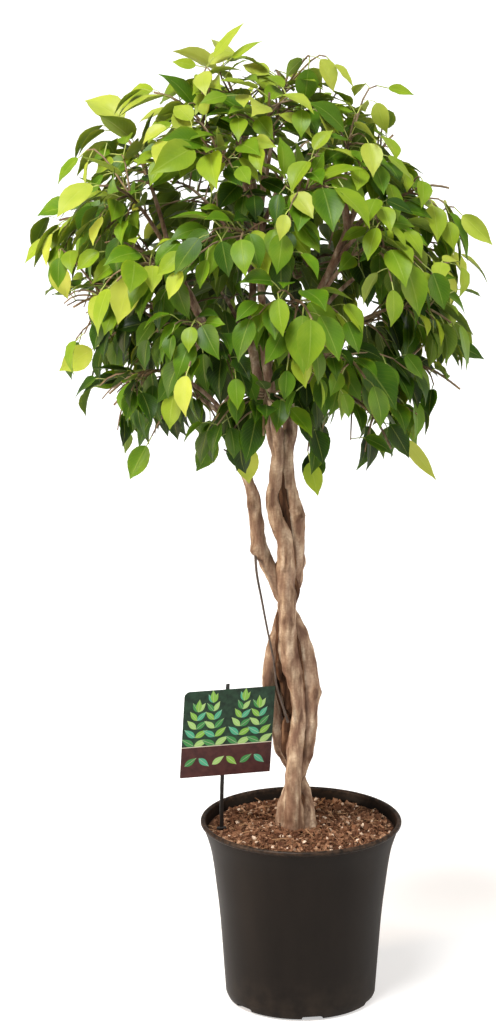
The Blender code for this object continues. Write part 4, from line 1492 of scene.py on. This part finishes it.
# %% Leaf materials
def leaf_finish(name, stops, vein_colour, roughness, vein_strength):
    """Colour by age and painted light, mottled, with a paler midrib and side veins a little proud.
    """
    material, tree, shader = new_finish(
        name, Roughness=roughness, Specular_IOR_Level=0.16, Subsurface_Weight=0.15,
        Subsurface_Radius=(1.0, 1.0, 0.15), Subsurface_Scale=0.002)
    mottle = mottled(tree, own_place(tree), 45, 2.0)
    uv = put(tree, "ShaderNodeTexCoord").outputs["UV"]
    veins = put(tree, "ShaderNodeGroup", {"UV": uv, "Count": 13, "Slant": 0.55},
                node_tree=vein_group)
    colour = toned_colour(tree, "youth", mottle, 0.14, stops)
    lines = sums(tree, "MULTIPLY_ADD", veins.outputs["Side"], 0.16, veins.outputs["Midrib"])
    feed(tree, shader, Base_Color=over(tree, lines, vein_strength, colour, vein_colour))
    roughen(tree, shader, lines, 0.25 * MM, 0.5)
    return material


# Low numbers give dark leaves, partly old ones and partly painted shade; high numbers give pale
# ones, partly new growth and partly painted light.
upper = leaf_finish("leaf_upper",
                    [(0.0, (0.009, 0.026, 0.002)), (0.25, (0.024, 0.070, 0.003)),
                     (0.5, (0.080, 0.178, 0.006)), (0.75, (0.222, 0.315, 0.018)),
                     (1.0, (0.415, 0.460, 0.078))], (0.34, 0.42, 0.08), 0.38, 0.3)
lower = leaf_finish("leaf_lower",
                    [(0.0, (0.040, 0.078, 0.010)), (0.5, (0.125, 0.205, 0.022)),
                     (1.0, (0.320, 0.395, 0.070))], (0.38, 0.45, 0.16), 0.55, 0.4)
# The stalks follow the same number of age and painted light.
stalk_green, tree, shader = new_finish("leaf_stalk", Roughness=0.45)
feed(tree, shader, Base_Color=ramp(tree, marked(tree, "youth"),
                                   [(0.0, (0.16, 0.22, 0.05)), (1.0, (0.42, 0.50, 0.10))]))

# %% [markdown]
# ## One leaf to copy
#
# A fig leaf is ovate, rounded at its base and drawn out to a drip tip. It is drawn once, flat and
# a unit long: a small grid whose rows are scaled to the outline, given a thin second side by
# Solidify, with a slim stalk behind it. A leaf that is copied hundreds of times has to stay light,
# so the blade has four columns and eight rows, which is enough to fold and arch it.

# %% Draw the blade
OUTLINE = [(0.0, 0.05), (0.04, 0.19), (0.13, 0.345), (0.27, 0.455), (0.42, 0.48), (0.58, 0.42),
           (0.73, 0.285), (0.87, 0.11), (1.0, 0.0)]
BLADE_COLUMNS = 4
BLADE_THICKNESS = 0.0005
STALK_SIDES = 5
STALK_MIDDLE = -0.52
STALK_CUTS = (-0.76, -0.52, -0.28)

start_clean()
bpy.ops.mesh.primitive_grid_add(x_subdivisions=BLADE_COLUMNS, y_subdivisions=len(OUTLINE) - 1,
                                size=1)
blade = bpy.context.object
for material in (upper, lower, stalk_green):
    blade.data.materials.append(material)
flat = places_of(blade)
row_of = np.rint((flat[:, 1] + 0.5) * (len(OUTLINE) - 1)).astype(int)
alongs, halves = np.array(OUTLINE).T
move_points(blade, np.stack([flat[:, 0] * 2 * halves[row_of], alongs[row_of], 0 * row_of], 1))
inner = blade.vertex_groups.new(name="inner")
rim = (np.abs(flat[:, 0]) > 0.49) | (row_of == 0) | (row_of == len(OUTLINE) - 1)
inner.add([int(k) for k in np.flatnonzero(~rim)], 1.0, "REPLACE")
solidify = blade.modifiers.new("thickness", "SOLIDIFY")
solidify.thickness = BLADE_THICKNESS
solidify.offset = -1
solidify.use_rim = False
solidify.vertex_group = "inner"
solidify.thickness_vertex_group = 0
solidify.material_offset = 1
bpy.ops.object.modifier_apply(modifier=solidify.name)
edit_all()
bpy.ops.mesh.remove_doubles(threshold=1e-5)
face_outward()
smooth_up_to(60)

# %% Add the stalk
bpy.ops.mesh.primitive_cylinder_add(vertices=STALK_SIDES, radius=1.0, depth=1.0,
                                    location=(0, STALK_MIDDLE, 0), rotation=(math.pi / 2, 0, 0))
bpy.ops.object.transform_apply(location=True, rotation=True)
stalk = bpy.context.object
for cut_at in STALK_CUTS:
    edit_all()
    bpy.ops.mesh.bisect(plane_co=(0, cut_at, 0), plane_no=(0, 1, 0))
bpy.ops.object.mode_set(mode="OBJECT")
smooth_up_to(60)
stalk.data.materials.append(stalk_green)
pattern = join([blade, stalk], "pattern_leaf")
print("pattern leaf:", len(pattern.data.polygons), "faces,",
      [slot.material.name for slot in pattern.material_slots])

# %% [markdown]
# ## Bending the leaf into place
#
# Every copy is folded up a little along its midrib, arched down towards its tip, and waved at the
# margin. Its stalk runs in a curve from the twig to the blade. All points of a copy are moved at
# once with arrays, which is far quicker than an operator for each leaf.

# %% How leaves bend
BLADE_TRIM = (0.95, 0.90)
WAVES_PER_LEAF = 2.2
WAVE_OFFSET = 0.8
WAVE_HEIGHTS = (0.2, 1.0)
MOST_TWIST = 0.45
MOST_HANG = 0.7
ROLL_SPREAD = 0.32
FOLD_SHARES = (0.2, 2.0)


def random_bend(rng):
    """How one leaf is waved, twisted, hung, rolled and folded."""
    return {
        "wave": rng.uniform(*WAVE_HEIGHTS) * MM,
        "twist": rng.uniform(-MOST_TWIST, MOST_TWIST),
        "phase": rng.random(),
        "hang": rng.uniform(0.0, MOST_HANG),
        "roll": rng.gauss(0, ROLL_SPREAD),
        "fold": LEAF_FOLD * rng.uniform(*FOLD_SHARES),
    }


def bent_points(flat, leaf, bend):
    """Moves the flat pattern's points to where this leaf holds them."""
    side, up = (np.array(axis) for axis in blade_frame(leaf["direction"], leaf["normal"]))
    turned, tilted = math.cos(bend["roll"]), math.sin(bend["roll"])
    side, up = side * turned + up * tilted, up * turned - side * tilted
    ahead, root, base = (np.array(leaf[key]) for key in ("direction", "root", "base"))
    x, y, z = flat.T
    along = np.clip(y, 0, 1) * BLADE_TRIM[0]
    reach = x * leaf["width"] * BLADE_TRIM[1]
    curl = bend["hang"] * leaf["length"] * np.clip(along - 0.5, 0, 1) ** 2
    turns = WAVES_PER_LEAF * along + bend["phase"]
    ripple = bend["wave"] * (2 * x) ** 2 * np.sin(2 * math.pi * turns + np.sign(x) * WAVE_OFFSET)
    lift = (np.abs(reach) * bend["fold"] - leaf["length"] * leaf["arch"] * along ** 2
            + ripple - curl + reach * bend["twist"] * along + z)
    blade = base + np.outer(along * leaf["length"], ahead)
    blade += np.outer(reach, side) + np.outer(lift, up)
    t = np.clip(1 + y, 0, 1)[:, None]
    span = np.linalg.norm(base - root)
    stem_way = (base - root) / span
    first, second = root + stem_way * span * 0.4, base - (ahead + stem_way) * span * 0.2
    middle = bezier_at((root, first, second, base), t)
    stalk = middle + np.outer(x, side) * PETIOLE_RADIUS + np.outer(z, up) * PETIOLE_RADIUS
    return np.where((y < -0.005)[:, None], stalk, blade)


# %% How old leaves are, and their painted light and shade
CORE_DEPTH = 0.5
SHELL_DEPTH = 0.55
HALF_HEIGHT = 0.25
YOUTH_AND_SHADE_IN_CORE = 0.16
YOUTH_AND_LIGHT_OUTWARD = 0.49
YOUTH_AND_LIGHT_POWER = 1.7
PAINTED_LIGHT_ABOVE = 0.29
PAINTED_SHADE_BELOW = 0.55
YOUTH_SPREAD = 0.17
YOUNGEST = 0.90


def youth_and_light_of(leaf, rng):
    """Near 0 for old leaves inside and below, in painted shade; near 1 for new ones outside and on
    top, in painted light.
    """
    depth = min(1.0, max(0.0, (depth_in_head(leaf["base"]) - CORE_DEPTH) / SHELL_DEPTH))
    height = (leaf["base"].z - HEAD_CENTRE.z) / HALF_HEIGHT
    # Painted light above the middle of the head, painted shade below it.
    by_height = height * (PAINTED_LIGHT_ABOVE if height > 0 else PAINTED_SHADE_BELOW)
    # Darker towards the middle of the head: older leaves and painted shade.
    by_place = YOUTH_AND_SHADE_IN_CORE + YOUTH_AND_LIGHT_OUTWARD * depth ** YOUTH_AND_LIGHT_POWER + by_height
    youth = leaf.get("youth", by_place) + rng.gauss(0, YOUTH_SPREAD)
    return min(YOUNGEST, max(0.0, youth))


def copy_leaf(name, leaf, rng):
    """One copy of the pattern, bent into place, with its own age and painted light."""
    copy = bpy.data.objects.new(name, pattern.data.copy())
    bpy.context.scene.collection.objects.link(copy)
    move_points(copy, bent_points(places_of(pattern), leaf, random_bend(rng)))
    mark(copy, "youth", youth_and_light_of(leaf, rng))
    return copy


# %% [markdown]
# ## Bark finish
#
# Fig bark is tan to pinkish grey-brown, streaked lengthwise, with darker flecks and patches, dirt at
# the foot, dark scars at the knots and dark brown clefts, which are dark cork and painted shade.
# Each of these is one stain with a mask of its own, laid over the last one. A single noise would be
# shorter, but it would look like marble.

# %% Bark material
bark, tree, shader = new_finish("fig_bark", Specular_IOR_Level=0.3)
streaks = mottled(tree, own_place(tree, 0.22), 150, 3.6)
flecks = mottled(tree, own_place(tree, 1.5), 320, 5.0)
patches = mottled(tree, own_place(tree, 0.5), 95, 5.0)
dirt = dusted(tree, own_place(tree), 0.190, 0.035, 190)
colour = ramp(tree, streaks.outputs["Mask"],
              [(0.0, (0.100, 0.055, 0.034)), (0.3, (0.250, 0.165, 0.105)),
               (0.62, (0.390, 0.285, 0.190)), (1.0, (0.60, 0.48, 0.35))])
for mask, strength, stain in (
        (patches.outputs["Mask"], 0.6, (0.200, 0.112, 0.074)),
        (flecks.outputs["Mask"], 0.26, (0.130, 0.068, 0.042)),
        (dirt, 0.8, (0.105, 0.052, 0.028)),
        (marked(tree, "scar"), 0.9, (0.070, 0.028, 0.013)),
        # Dark cork and painted shade in the clefts between stems.
        (sums(tree, "POWER", marked(tree, "cleft_cork_and_shade"), 1.4), 0.92, (0.034, 0.014, 0.006))):
    colour = over(tree, mask, strength, colour, stain)
feed(tree, shader, Base_Color=colour,
     Roughness=sums(tree, "MULTIPLY_ADD", streaks.outputs["Fine"], 0.25, 0.58))
roughen(tree, shader, sums(tree, "ADD", streaks.outputs["Fine"], patches.outputs["Fine"]),
        0.6 * MM, 0.8)

# %% Roll the stems with their bare limbs
FUSE_TOP = 0.60
FOOT_MIDDLE = -0.004
FOOT_GATHER = 0.24
GATHER_TOP = 0.236
GATHER_FADE = 0.035
LIMB_STEP = 0.006
LIMB_SIDES = 12
LIMB_SCAR = 0.15
FORK_SWELL = 1.5
FORK_REACH = 0.018


def flared(route, swell, over):
    """The route with its first spots thickened, as a branch is where it leaves the wood."""
    start = route[0][0]
    return [(place, radius * (1 + (swell - 1) * max(0.0, 1 - (place - start).length / over)))
            for place, radius in route]


def gathered(route):
    """The route with its foot drawn in towards the middle of the plait."""
    drawn = []
    for place, radius in route:
        share = FOOT_GATHER * min(1.0, max(0.0, (GATHER_TOP - place.z) / GATHER_FADE))
        drawn.append((Vector((place.x + (FOOT_MIDDLE - place.x) * share, place.y, place.z)), radius))
    return drawn


plait = {name: gathered(route) for name, route in routes.items()}
for name, route in plait.items():
    others = [other for label, other in plait.items() if label != name]
    near = wood_near([[spot for spot in other if spot[0].z < FUSE_TOP] for other in others])
    stem = rolled_stick(name + "_bark", finer(route, BARK_STEP), BARK_SIDES,
                        lambda *skin: bark_relief(*skin, near))
    mark_bark(stem, others)
    sticks = [stem]
    own_limbs = [limb for limb in limbs if limb["stem"] == name]
    for limb in own_limbs:
        path = taper(bezier(limb["points"], 3, 0.0, BARE_SHARE), LIMB_RADIUS, JOINT_RADIUS)
        stick = rolled_stick("limb", flared(finer(path, LIMB_STEP), FORK_SWELL, FORK_REACH),
                             LIMB_SIDES)
        mark(stick, "scar", LIMB_SCAR)
        mark(stick, "cleft_cork_and_shade", 0.0)
        sticks.append(stick)
    stem = join(sticks, name + "_bark")
    stem.data.materials.append(bark)
    present(stem, [name])

# %% [markdown]
# Where stems press on each other they graft, and the seam fills with rough brown callus and dead
# bark. Its near-black brown is that callus and also painted shade of the deep gaps between the
# stems.
# It is one more rolled stick in each gap, as thick as the gap is wide, with a fibrous surface.
# The stems could be joined by a Boolean instead, but then the seams would be sharp and clean.

# %% Find the seams
CALLUS_REACH = 15 * MM
CALLUS_BITE = 1.5 * MM
CALLUS_STEP = 0.0025
CALLUS_TAPER = 9
CALLUS_FOOT = 0.178
CALLUS_SIDES = 14
CALLUS_LUMPS = [(0.32, 420, 40), (0.30, 90, 70)]
FREE_STEM = "stem_left"
FREE_ABOVE = 0.478


def callus_runs(route, other, top):
    """Runs of (place, radius) between two stems, wherever they nearly touch."""
    runs = [[]]
    for place, radius in finer(route, CALLUS_STEP):
        distance, there, their_radius = nearest_on(other, place)
        gap = distance - radius - their_radius
        if CALLUS_FOOT < place.z < top and gap < CALLUS_REACH:
            middle = place + (there - place).normalized() * (radius + gap / 2)
            runs[-1].append((middle, max(gap, 0.0) / 2 + CALLUS_BITE))
        elif runs[-1]:
            runs.append([])
    return [run for run in runs if len(run) > 2 * CALLUS_TAPER]


def callus_relief(spots, outward, radius):
    """Fibres along the callus and lumps across it."""
    skin = spots + outward * radius[:, None]
    return radius * [waves(CALLUS_LUMPS, *point) for point in skin]


# %% Fill the seams with callus and painted shade
# Dark brown callus, whose darkest stops are painted shade of the gaps between the stems.
callus_and_shade_bark = mottled_finish(
    "callus_and_shade_bark", [(0.0, (0.026, 0.011, 0.005)), (0.55, (0.085, 0.040, 0.020)),
                    (1.0, (0.20, 0.115, 0.065))],
    190, 3.0, 0.8 * MM, depth=0.9, height_scale=0.15, Roughness=0.9, Specular_IOR_Level=0.2)
seams = []
for one, other in itertools.combinations(plait, 2):
    top = FREE_ABOVE if FREE_STEM in (one, other) else FUSE_TOP
    for run in callus_runs(plait[one], plait[other], top):
        eased = [(spot, radius * min(1.0, (k + 1) / CALLUS_TAPER, (len(run) - k) / CALLUS_TAPER))
                 for k, (spot, radius) in enumerate(run)]
        seams.append(rolled_stick("seam", eased, CALLUS_SIDES, callus_relief))
seams_and_shade = join(seams, "grafted_seams_and_shade")
seams_and_shade.data.materials.append(callus_and_shade_bark)
present(seams_and_shade)

# %% [markdown]
# ## The aerial root and a snapped twig
#
# Figs send thin roots down through the air. One of them hangs beside the plait from a knot on the
# left stem and has grown to the trunk lower down, and a twig was snapped off above it. A curve with
# a bevel would do for both, but the rolled stick swells where a root starts and ends.

# %% Roll the aerial root and the snapped twig
ROOT_START = (-48, -8, 487)
ROOT_SWELL = 1.2
THIN_STEP = 0.003
ROOT_SIDES = 10
SNAPPED_SIDES = 8
SNAPPED_TWIG = [(-60, -7, 572, 1.7), (-66, -8, 580, 1.3), (-72, -9, 589, 1.1), (-80, -10, 595, 0.9)]

root_bark = mottled_finish("root_bark", [(0.0, (0.026, 0.018, 0.014)), (1.0, (0.11, 0.082, 0.066))],
                           120, 2.5, 0.3 * MM, Roughness=0.7)
root_route[0] = (Vector(ROOT_START) * MM, root_route[0][1])
root_route = [(place, radius * ROOT_SWELL) for place, radius in root_route]
aerial_root = rolled_stick("hanging_root", finer(root_route, THIN_STEP), ROOT_SIDES)
snapped = rolled_stick("snapped_twig", smooth_route(SNAPPED_TWIG, THIN_STEP), SNAPPED_SIDES)
for thin, stands_for in ((aerial_root, ["aerial_root"]), (snapped, [])):
    thin.data.materials.append(root_bark)
    present(thin, stands_for)

# %% [markdown]
# ## The sprays
#
# Each spray of the plain model is replaced by one piece: its twig, its side twigs and all their
# leaves, joined into one mesh, so that the forty sprays keep their places and names in order. Linked
# copies of one leaf would be lighter, but each leaf is bent and aged on its own and so needs its own
# mesh. A plain leaf that hangs in front of the fork or in a gap of the outline is left out.

# %% Build the sprays
SPRAY_SIDES = 7
SIDE_TWIG_SIDES = 5
SPRAY_STEP = 0.010
SIDE_TWIG_STEP = 0.012
TWIG_YOUTH_AND_LIGHT = 0.5
YOUTH_SEED = 31

youth_rng = random.Random(YOUTH_SEED)
twig_bark = mottled_finish("twig_bark", [(0.0, (0.085, 0.048, 0.026)), (0.6, (0.20, 0.135, 0.072)),
                                         (1.0, (0.32, 0.25, 0.13))],
                           90, 2.0, 0.3 * MM, Roughness=0.6)
for number, limb in enumerate(limbs):
    leafy_twigs = [twig for twig in limb["twigs"] if twig["leaves"]]
    sticks = [rolled_stick("twig", finer(limb["leafy"], SPRAY_STEP), SPRAY_SIDES)]
    sticks += [rolled_stick("twig", finer(twig["leafy"], SIDE_TWIG_STEP), SIDE_TWIG_SIDES)
               for twig in leafy_twigs]
    for stick in sticks:
        stick.data.materials.append(twig_bark)
        mark(stick, "youth", TWIG_YOUTH_AND_LIGHT)
    leaves = [leaf for leaf in limb["leaves"] if not in_gap(leaf)]
    leaves += [leaf for twig in leafy_twigs for leaf in twig["leaves"]]
    copies = [copy_leaf(f"leaf_{number}_{k}", leaf, youth_rng) for k, leaf in enumerate(leaves)]
    spray = join(sticks + copies, f"leafy_spray_{number + 1:02d}")
    present(spray, [f"spray_{number + 1:02d}"])
bpy.data.objects.remove(pattern, do_unlink=True)

# %% [markdown]
# ## The label
#
# A nursery label is a printed card clipped to the front of a flat stake, with a small black flange
# on the stake just above the mix. The stake starts as a circle pushed into a rounded oblong and is
# extruded from place to place, because a bevelled curve would twist its flat sides at the bends. The
# card is a thin block whose corners are bevelled.

# %% Sizes of the label
STAKE_ROUTE = [(-85, -4, 150), (-83, -7, 184), (-82, -20, 249), (-76, -29, 351)]
STAKE_SECTION = (2.0, 0.8)
STAKE_SIDES = 24
STAKE_SQUARENESS = 0.4
STAKE_TIP = ((0.8, 0.6), (0.45, 0.3))
FLANGE_SIZE = (10.0, 3.6, 3.0)
FLANGE_HEIGHT = 187.5
CARD_SIZE = (98.0, 96.0)
CARD_CORNERS = ((-1, 1, 6.0), (1, 1, 1.2), (1, -1, 1.2), (-1, -1, 1.2))
CORNER_SEGMENTS = 7
CARD_THICKNESS = 0.8
CARD_YAW = math.radians(18.4)
CARD_SHIFT = 2.3
CARD_MIDDLE = 298.5
CARD_GAP = 0.3


def on_stake(low, high, height):
    """The place on the stake at a height, between two places of its route, in mm."""
    return low.lerp(high, (height - low.z) / (high.z - low.z))


# %% Extrude the stake
start_clean()
bpy.ops.mesh.primitive_circle_add(vertices=STAKE_SIDES, radius=1, fill_type="NGON")
stake = bpy.context.object
unit = places_of(stake)
oblong = np.sign(unit) * np.abs(unit) ** STAKE_SQUARENESS
move_points(stake, oblong * (*STAKE_SECTION, 0) * MM)
stake.location = Vector(STAKE_ROUTE[0]) * MM
stake.rotation_euler = (0, 0, CARD_YAW)
bpy.ops.object.transform_apply(location=True, rotation=True)
bpy.ops.object.mode_set(mode="EDIT")
turns = [Vector(row) * MM for row in STAKE_ROUTE]
smooth_turns = [Vector(row) for row in through([list(turn) for turn in turns], 0.012)]
for low, high in zip(smooth_turns, smooth_turns[1:]):
    bpy.ops.mesh.extrude_region_move(TRANSFORM_OT_translate={"value": high - low})
for shrink, rise in STAKE_TIP:
    bpy.ops.mesh.extrude_region_move(TRANSFORM_OT_translate={"value": (0, 0, rise * MM)})
    bpy.ops.transform.resize(value=(shrink, shrink, 1), center_override=smooth_turns[-1])
face_outward()
smooth_up_to(45)

low, high = (Vector(row) for row in STAKE_ROUTE[1:3])
flange = rounded_block(Vector(FLANGE_SIZE) * MM, on_stake(low, high, FLANGE_HEIGHT) * MM, CARD_YAW,
                       0.7 * MM, 3)
smooth_up_to(45)
stake = join([stake, flange], "stake_with_flange")

black, tree, shader = new_finish("stake_plastic", Specular_IOR_Level=0.4)
mottle = mottled(tree, own_place(tree), 120, 2.0)
feed(tree, shader,
     Base_Color=ramp(tree, mottle.outputs["Mask"],
                     [(0.0, (0.008, 0.008, 0.008)), (1.0, (0.022, 0.021, 0.020))]),
     Roughness=sums(tree, "MULTIPLY_ADD", mottle.outputs["Fine"], 0.2, 0.3))
stake.data.materials.append(black)
present(stake, ["label_stake"])

# %% Bevel the card
low, high = (Vector(row) for row in STAKE_ROUTE[2:4])
card_up = (high - low).normalized()
card_right = Vector((math.cos(CARD_YAW), math.sin(CARD_YAW), 0))
card_right = (card_right - card_up * card_right.dot(card_up)).normalized()
card_back = card_up.cross(card_right)
turned = Matrix((card_right, card_up, -card_back)).transposed()
off_stake = STAKE_SECTION[1] + CARD_GAP + CARD_THICKNESS / 2
card_centre = on_stake(low, high, CARD_MIDDLE) + card_right * CARD_SHIFT - card_back * off_stake

start_clean()
bpy.ops.mesh.primitive_cube_add(size=1, scale=Vector((*CARD_SIZE, CARD_THICKNESS)) * MM)
bpy.ops.object.transform_apply(scale=True)
card = bpy.context.object
almost_wide, almost_high = (0.4999 * side * MM for side in CARD_SIZE)
for corner_x, corner_y, radius in CARD_CORNERS:
    select_where(card, lambda place: place.x * corner_x > almost_wide
                 and place.y * corner_y > almost_high)
    bpy.ops.mesh.bevel(offset=radius * MM, segments=CORNER_SEGMENTS)
bpy.ops.object.mode_set(mode="OBJECT")
card.matrix_world = Matrix.Translation(card_centre * MM) @ turned.to_4x4()
bpy.ops.object.transform_apply(location=True, rotation=True)
rename(card, "printed_card")
smooth_up_to(35)

# %% [markdown]
# ## The print
#
# The card shows upright leafy sprigs over a dark band. It is drawn by the material, which stays
# sharp at any distance, where an image would not. A Mapping node turns Object coordinates into the
# card's own right and up, in millimetres, and each printed leaf has a Mapping of its own that puts
# its base at the origin and its tip at one. One group then turns that place into an ovate mask and a
# midrib.

# %% A printed leaf, as a node group
print_group, given, result = new_group("printed_leaf", [("Place", "V"), ("Fat", "F")],
                                       [("Mask", "F"), ("Midrib", "F")])
split = put(print_group, "ShaderNodeSeparateXYZ", {0: given.outputs["Place"]})
along, across = split.outputs["X"], sums(print_group, "ABSOLUTE", split.outputs["Y"])
left_over = sums(print_group, "SUBTRACT", 1.0, along)
swell = sums(print_group, "MULTIPLY", along, sums(print_group, "POWER", left_over, 1.5))
half = sums(print_group, "MULTIPLY", swell, given.outputs["Fat"])
inside = sums(print_group, "SUBTRACT", half, across)
feed(print_group, result, Mask=sums(print_group, "MULTIPLY", inside, 60.0, clamp=True),
     Midrib=sums(print_group, "MULTIPLY_ADD", across, -45.0, 1.0, clamp=True))

# %% Lay out the print
SPRIGS = [(-36, 86, 5), (-13, 95, 6), (11, 84, 6), (35, 93, 5)]
SPRIG_FOOT = -13
SPRIG_STEP = 9.5
LEAF_LEANS = (62, 7)
LEAF_LENGTHS = (17, 1)
TIP_LEAF = (15, 0)
BAND_LEAVES = 6
BAND_START = (-45, -35)
BAND_STEP = (15, 8)
BAND_TURNS = (35, -40)
BAND_LEAF_LENGTH = 16


def along_sprig(foot, lean, step):
    """The place some steps up a printed sprig, in mm from the middle of the card."""
    turn = math.radians(lean)
    return foot + SPRIG_STEP * step * math.cos(turn), SPRIG_FOOT + SPRIG_STEP * step * math.sin(turn)


printed = []  # right, up, turn in degrees, length and tint of each leaf
for foot, lean, count in SPRIGS:
    for k in range(count):
        for side in (-1, 1):
            turn = lean + side * (LEAF_LEANS[0] - LEAF_LEANS[1] * k)
            length = LEAF_LENGTHS[0] - LEAF_LENGTHS[1] * k
            printed.append((*along_sprig(foot, lean, k), turn, length, (k + side) % 4))
printed += [(*along_sprig(foot, lean, count - 1), lean, *TIP_LEAF) for foot, lean, count in SPRIGS]
for k in range(BAND_LEAVES):
    right, up = BAND_START[0] + BAND_STEP[0] * k, BAND_START[1] + BAND_STEP[1] * (k % 2)
    printed.append((right, up, BAND_TURNS[k % 2], BAND_LEAF_LENGTH, (k + 1) % 4))
print("printed leaves:", len(printed))

# %% Print the card
GROUND = ((0.006, 0.017, 0.010, 1), (0.018, 0.052, 0.028, 1))
BAND = ((0.040, 0.011, 0.011, 1), (0.070, 0.022, 0.019, 1))
BAND_TOP = -14.0
CREAM = (0.62, 0.56, 0.45)
GREENS = [(0.19, 0.40, 0.060, 1), (0.045, 0.22, 0.060, 1), (0.065, 0.34, 0.20, 1),
          (0.30, 0.50, 0.16, 1)]
LEAF_FATNESS = 1.15

ink, tree, shader = new_finish("card_print", Specular_IOR_Level=0.25)
on_card = put(tree, "ShaderNodeMapping",
              {"Vector": own_place(tree), "Location": card_centre * MM,
               "Rotation": turned.to_euler(), "Scale": (MM, MM, MM)},
              vector_type="TEXTURE").outputs[0]
split = put(tree, "ShaderNodeSeparateXYZ", {0: on_card})
mottle = mottled(tree, on_card, 0.14, 2.6)
green = blend(tree, mottle.outputs["Mask"], *GROUND)
brown = blend(tree, mottle.outputs["Mask"], *BAND)
above_band = sums(tree, "SUBTRACT", split.outputs["Y"], BAND_TOP)
colour = blend(tree, sums(tree, "MULTIPLY_ADD", above_band, -4.0, 0.5, clamp=True), green, brown)
for right, up, degrees, length, tint in printed:
    leaf_place = put(tree, "ShaderNodeMapping",
                     {"Vector": on_card, "Location": (right, up, 0), "Scale": (length, length, 1),
                      "Rotation": (0, 0, math.radians(degrees))}, vector_type="TEXTURE").outputs[0]
    leaf = put(tree, "ShaderNodeGroup", {"Place": leaf_place, "Fat": LEAF_FATNESS},
               node_tree=print_group)
    ribbed = over(tree, leaf.outputs["Midrib"], 0.55, GREENS[tint], CREAM)
    colour = blend(tree, leaf.outputs["Mask"], colour, ribbed)
line = sums(tree, "MULTIPLY_ADD", sums(tree, "ABSOLUTE", above_band), -5.0, 2.5, clamp=True)
feed(tree, shader, Base_Color=over(tree, line, 1.0, colour, CREAM),
     Roughness=sums(tree, "MULTIPLY_ADD", mottle.outputs["Fine"], 0.12, 0.30))
card.data.materials.append(ink)
present(card, ["label_card"])
